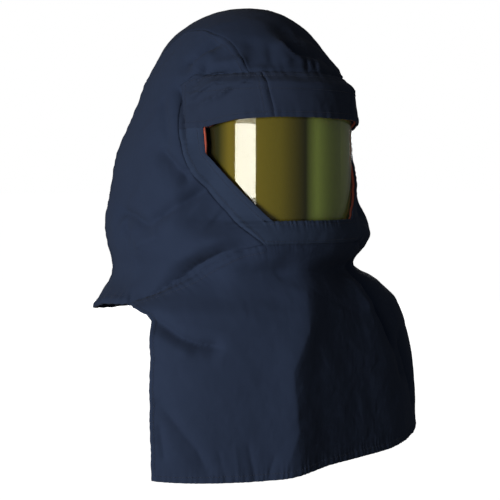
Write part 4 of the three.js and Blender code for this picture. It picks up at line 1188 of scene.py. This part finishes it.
section = shield_section()
arc = np.linspace(-SHIELD_HALF_ANGLE, SHIELD_HALF_ANGLE, SHIELD_CUTS + 1) * DEGREE
ring = np.stack([
    section[None, :, 0] * np.sin(arc)[:, None],
    -SHIELD_AHEAD - section[None, :, 0] * np.cos(arc)[:, None],
    np.broadcast_to(CLOTH + section[None, :, 1], (len(arc), len(section))),
], axis=-1).reshape(-1, 3)
grid = np.arange(len(ring)).reshape(len(arc), len(section))
around = np.concatenate([grid, grid[:, :1]], axis=1)
sides = np.stack([around[:-1, :-1], around[1:, :-1], around[1:, 1:], around[:-1, 1:]], axis=-1)
faces = [*sides.reshape(-1, 4).tolist(), grid[0].tolist(), grid[-1][::-1].tolist()]
shield_uv = np.stack([np.repeat((arc / DEGREE / SHIELD_HALF_ANGLE + 1) / 2, len(section)),
                      ring[:, 2] / HOOD_HEIGHT], axis=1)
shield = mesh_object("face_shield_sheet", ring, faces, shield_material, shield_uv, SHIELD_CREASE)
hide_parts("face_shield")
print("shield", len(faces), "faces")

# %% [markdown]
# ## Orange cord round the window
# The cord follows the window's edge in the lattice. At the upright sides it lies in the
# opening, and elsewhere it is tucked behind the cloth. A bevelled curve would do as well,
# but a tube of points from the same edge keeps its distance to cloth and shield exactly.

# %% Lay the cord
CORD_SIDES = 12
IN_OPENING = JOIN_GAP + PIPING_RADIUS
UNDER_EDGE = PIPING_RADIUS / 3
OUT_OF_SIGHT = -1.4 * PIPING_RADIUS
SLOPE_END = 0.2


def ordered_loop(start, end):
    """Rim edges put in one closed line of point numbers."""
    onward = dict(zip(start.tolist(), end.tolist()))
    line = [int(start[0])]
    while onward[line[-1]] != line[0]:
        line.append(onward[line[-1]])
    return np.array(line)


window_start, window_end = rim_of(cells_of["window"])
loop = ordered_loop(window_start, window_end)
row_of = loop // ring_count
column_of = ring_columns[loop % ring_count]
window_row = ROW_CUTS[row_of]
open_side = (np.abs(np.abs(column_of) - WINDOW_COLUMN) < TINY) & (window_row <= UPRIGHT_ROW + TINY)
at_top = window_row < WINDOW_TOP_ROW + TINY
sunk_deep = CLOTH + 2 * JOIN_GAP + PIPING_RADIUS
sunk = np.where(open_side & ~at_top, CLOTH / 2, sunk_deep)
slope_near = (column_of < 0) & (window_row < WINDOW_BOTTOM_ROW - SLOPE_END)
inset = np.where(open_side, IN_OPENING, np.where(at_top | slope_near, OUT_OF_SIGHT, UNDER_EDGE))
unit = inset_moves(hood_points, hood_normals, window_start, window_end, 1.0)[loop]


def even_out(values, times):
    """Running mean of a closed line's values with both neighbours, several times."""
    for _ in range(times):
        values = (np.roll(values, 1, axis=0) + 2 * values + np.roll(values, -1, axis=0)) / 4
    return values


route = hood_points[loop] + unit * even_out(inset, 6)[:, None]
route = even_out(route - hood_normals[loop] * even_out(sunk, 6)[:, None], 2)


def tube_round(path, radius, sides):
    """Circles square to a closed path, on directions worked out from its tangent."""
    run = np.roll(path, -1, axis=0) - np.roll(path, 1, axis=0)
    run /= np.linalg.norm(run, axis=1, keepdims=True)
    away = path - np.array([0, -SHIELD_AHEAD, 0])
    away[:, 2] = 0
    across = np.cross(away, run)
    across /= np.linalg.norm(across, axis=1, keepdims=True)
    up = np.cross(run, across)
    turn = np.linspace(0, 2 * np.pi, sides, endpoint=False)
    rings = (path[:, None] + radius * (np.cos(turn)[None, :, None] * across[:, None]
                                       + np.sin(turn)[None, :, None] * up[:, None]))
    grid = np.arange(len(path) * sides).reshape(len(path), sides)
    grid = np.concatenate([grid, grid[:1]], axis=0)
    grid = np.concatenate([grid, grid[:, :1]], axis=1)
    quads = np.stack([grid[:-1, :-1], grid[:-1, 1:], grid[1:, 1:], grid[1:, :-1]], axis=-1)
    return rings.reshape(-1, 3), quads.reshape(-1, 4)


cord_points, cord_faces = tube_round(route, PIPING_RADIUS, CORD_SIDES)
length = np.concatenate([[0], np.cumsum(np.linalg.norm(np.diff(route, axis=0), axis=1))])
girth = 2 * np.pi * PIPING_RADIUS * np.arange(CORD_SIDES) / CORD_SIDES
cord_uv = np.stack([np.repeat(length, CORD_SIDES), np.tile(girth, len(route))], axis=1)
cord_piece = mesh_object("window_piping_cord", cord_points, cord_faces, cord_material, cord_uv)
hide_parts("window_piping")
print("cord", round(length[-1] * MM, 3), "m long")

# %% [markdown]
# ## Studio
# The picture is taken level with the window, from 33 degrees to the wearer's right,
# against white. Two soft lights share the work at the camera's left. The key lights the
# cloth and is kept out of reflections, and the strip shows only in reflections, as the
# upright glare on the shield. A third one behind keeps the back readable. The white
# ground is bright to the camera and dim to everything else.

# %% Camera, lights and floor
FLOOR_DROP, FLOOR_HALF = 0.12, 30.0
CAMERA_AZIMUTH = -33 * DEGREE
CAMERA_DISTANCE = 1.3
CAMERA_HEIGHT = -0.224
LOOK_AT = (0, 0, -0.25)
LENS, SENSOR = 70.0, 36.0
SHIFT_X, SHIFT_Y = 0.014, -0.14

camera_data = bpy.data.cameras.new("camera")
camera_data.lens = LENS
camera_data.sensor_width = SENSOR
camera_data.shift_x = SHIFT_X
camera_data.shift_y = SHIFT_Y
camera = bpy.data.objects.new("camera", camera_data)
camera.location = (CAMERA_DISTANCE * np.sin(CAMERA_AZIMUTH), -CAMERA_DISTANCE * np.cos(CAMERA_AZIMUTH),
                   CAMERA_HEIGHT)
camera.rotation_euler = (90 * DEGREE, 0, CAMERA_AZIMUTH)
bpy.context.collection.objects.link(camera)
bpy.context.scene.camera = camera


def soft_light(name, azimuth, distance, height, size, power):
    """Area light at an azimuth in degrees from the front, turned to face the hood."""
    data = bpy.data.lights.new(name, "AREA")
    data.shape = "RECTANGLE"
    data.size, data.size_y = size
    data.energy = power
    light = bpy.data.objects.new(name, data)
    turn = azimuth * DEGREE
    light.location = (distance * np.sin(turn), -distance * np.cos(turn), height)
    look = Vector(LOOK_AT) - light.location
    light.rotation_euler = look.to_track_quat("-Z", "Y").to_euler()
    bpy.context.collection.objects.link(light)
    return light


strip_light = soft_light("strip", -59, 1.8, -0.17, (0.84, 0.66), 22)
strip_light.visible_diffuse = False
key_light = soft_light("key", -74, 2.0, -0.27, (0.45, 0.8), 32.5)
key_light.visible_glossy = False
soft_light("back", 147, 2.4, -0.1, (1.2, 1.2), 24)

AMBIENT = 0.10
world = bpy.data.worlds.new("studio")
world.use_nodes = True
world_tree = world.node_tree
world_tree.nodes.clear()
seen = node(world_tree, "ShaderNodeLightPath")
strength = node(world_tree, "ShaderNodeMapRange", {"Value": seen.outputs["Is Camera Ray"]},
                To_Min=AMBIENT, To_Max=1.0)
paper = node(world_tree, "ShaderNodeBackground", {"Strength": strength.outputs["Result"]},
             Color=(1, 1, 1, 1))
node(world_tree, "ShaderNodeOutputWorld", {"Surface": paper.outputs["Background"]})
bpy.context.scene.world = world
bpy.context.scene.view_settings.view_transform = "Standard"

floor_height = cad_bounds[0][2] - FLOOR_DROP
floor_mesh = bpy.data.meshes.new("studio_floor")
floor_corners = [(x * FLOOR_HALF, y * FLOOR_HALF, floor_height)
                 for x, y in ((-1, -1), (1, -1), (1, 1), (-1, 1))]
floor_mesh.from_pydata(floor_corners, [], [(0, 1, 2, 3)])
floor = bpy.data.objects.new("studio_floor", floor_mesh)
bpy.context.collection.objects.link(floor)
floor_material, floor_tree = new_material("pale_paper")
floor_shader = node(floor_tree, "ShaderNodeBsdfPrincipled", Roughness=0.8, Base_Color=linear("#606060"),
                    Emission_Color=(1, 1, 1, 1), Emission_Strength=0.985)
floor.visible_diffuse = False
floor.visible_glossy = False
node(floor_tree, "ShaderNodeOutputMaterial", {"Surface": floor_shader.outputs["BSDF"]})
floor_mesh.materials.append(floor_material)
print("camera at", [round(v, 3) for v in camera.location])
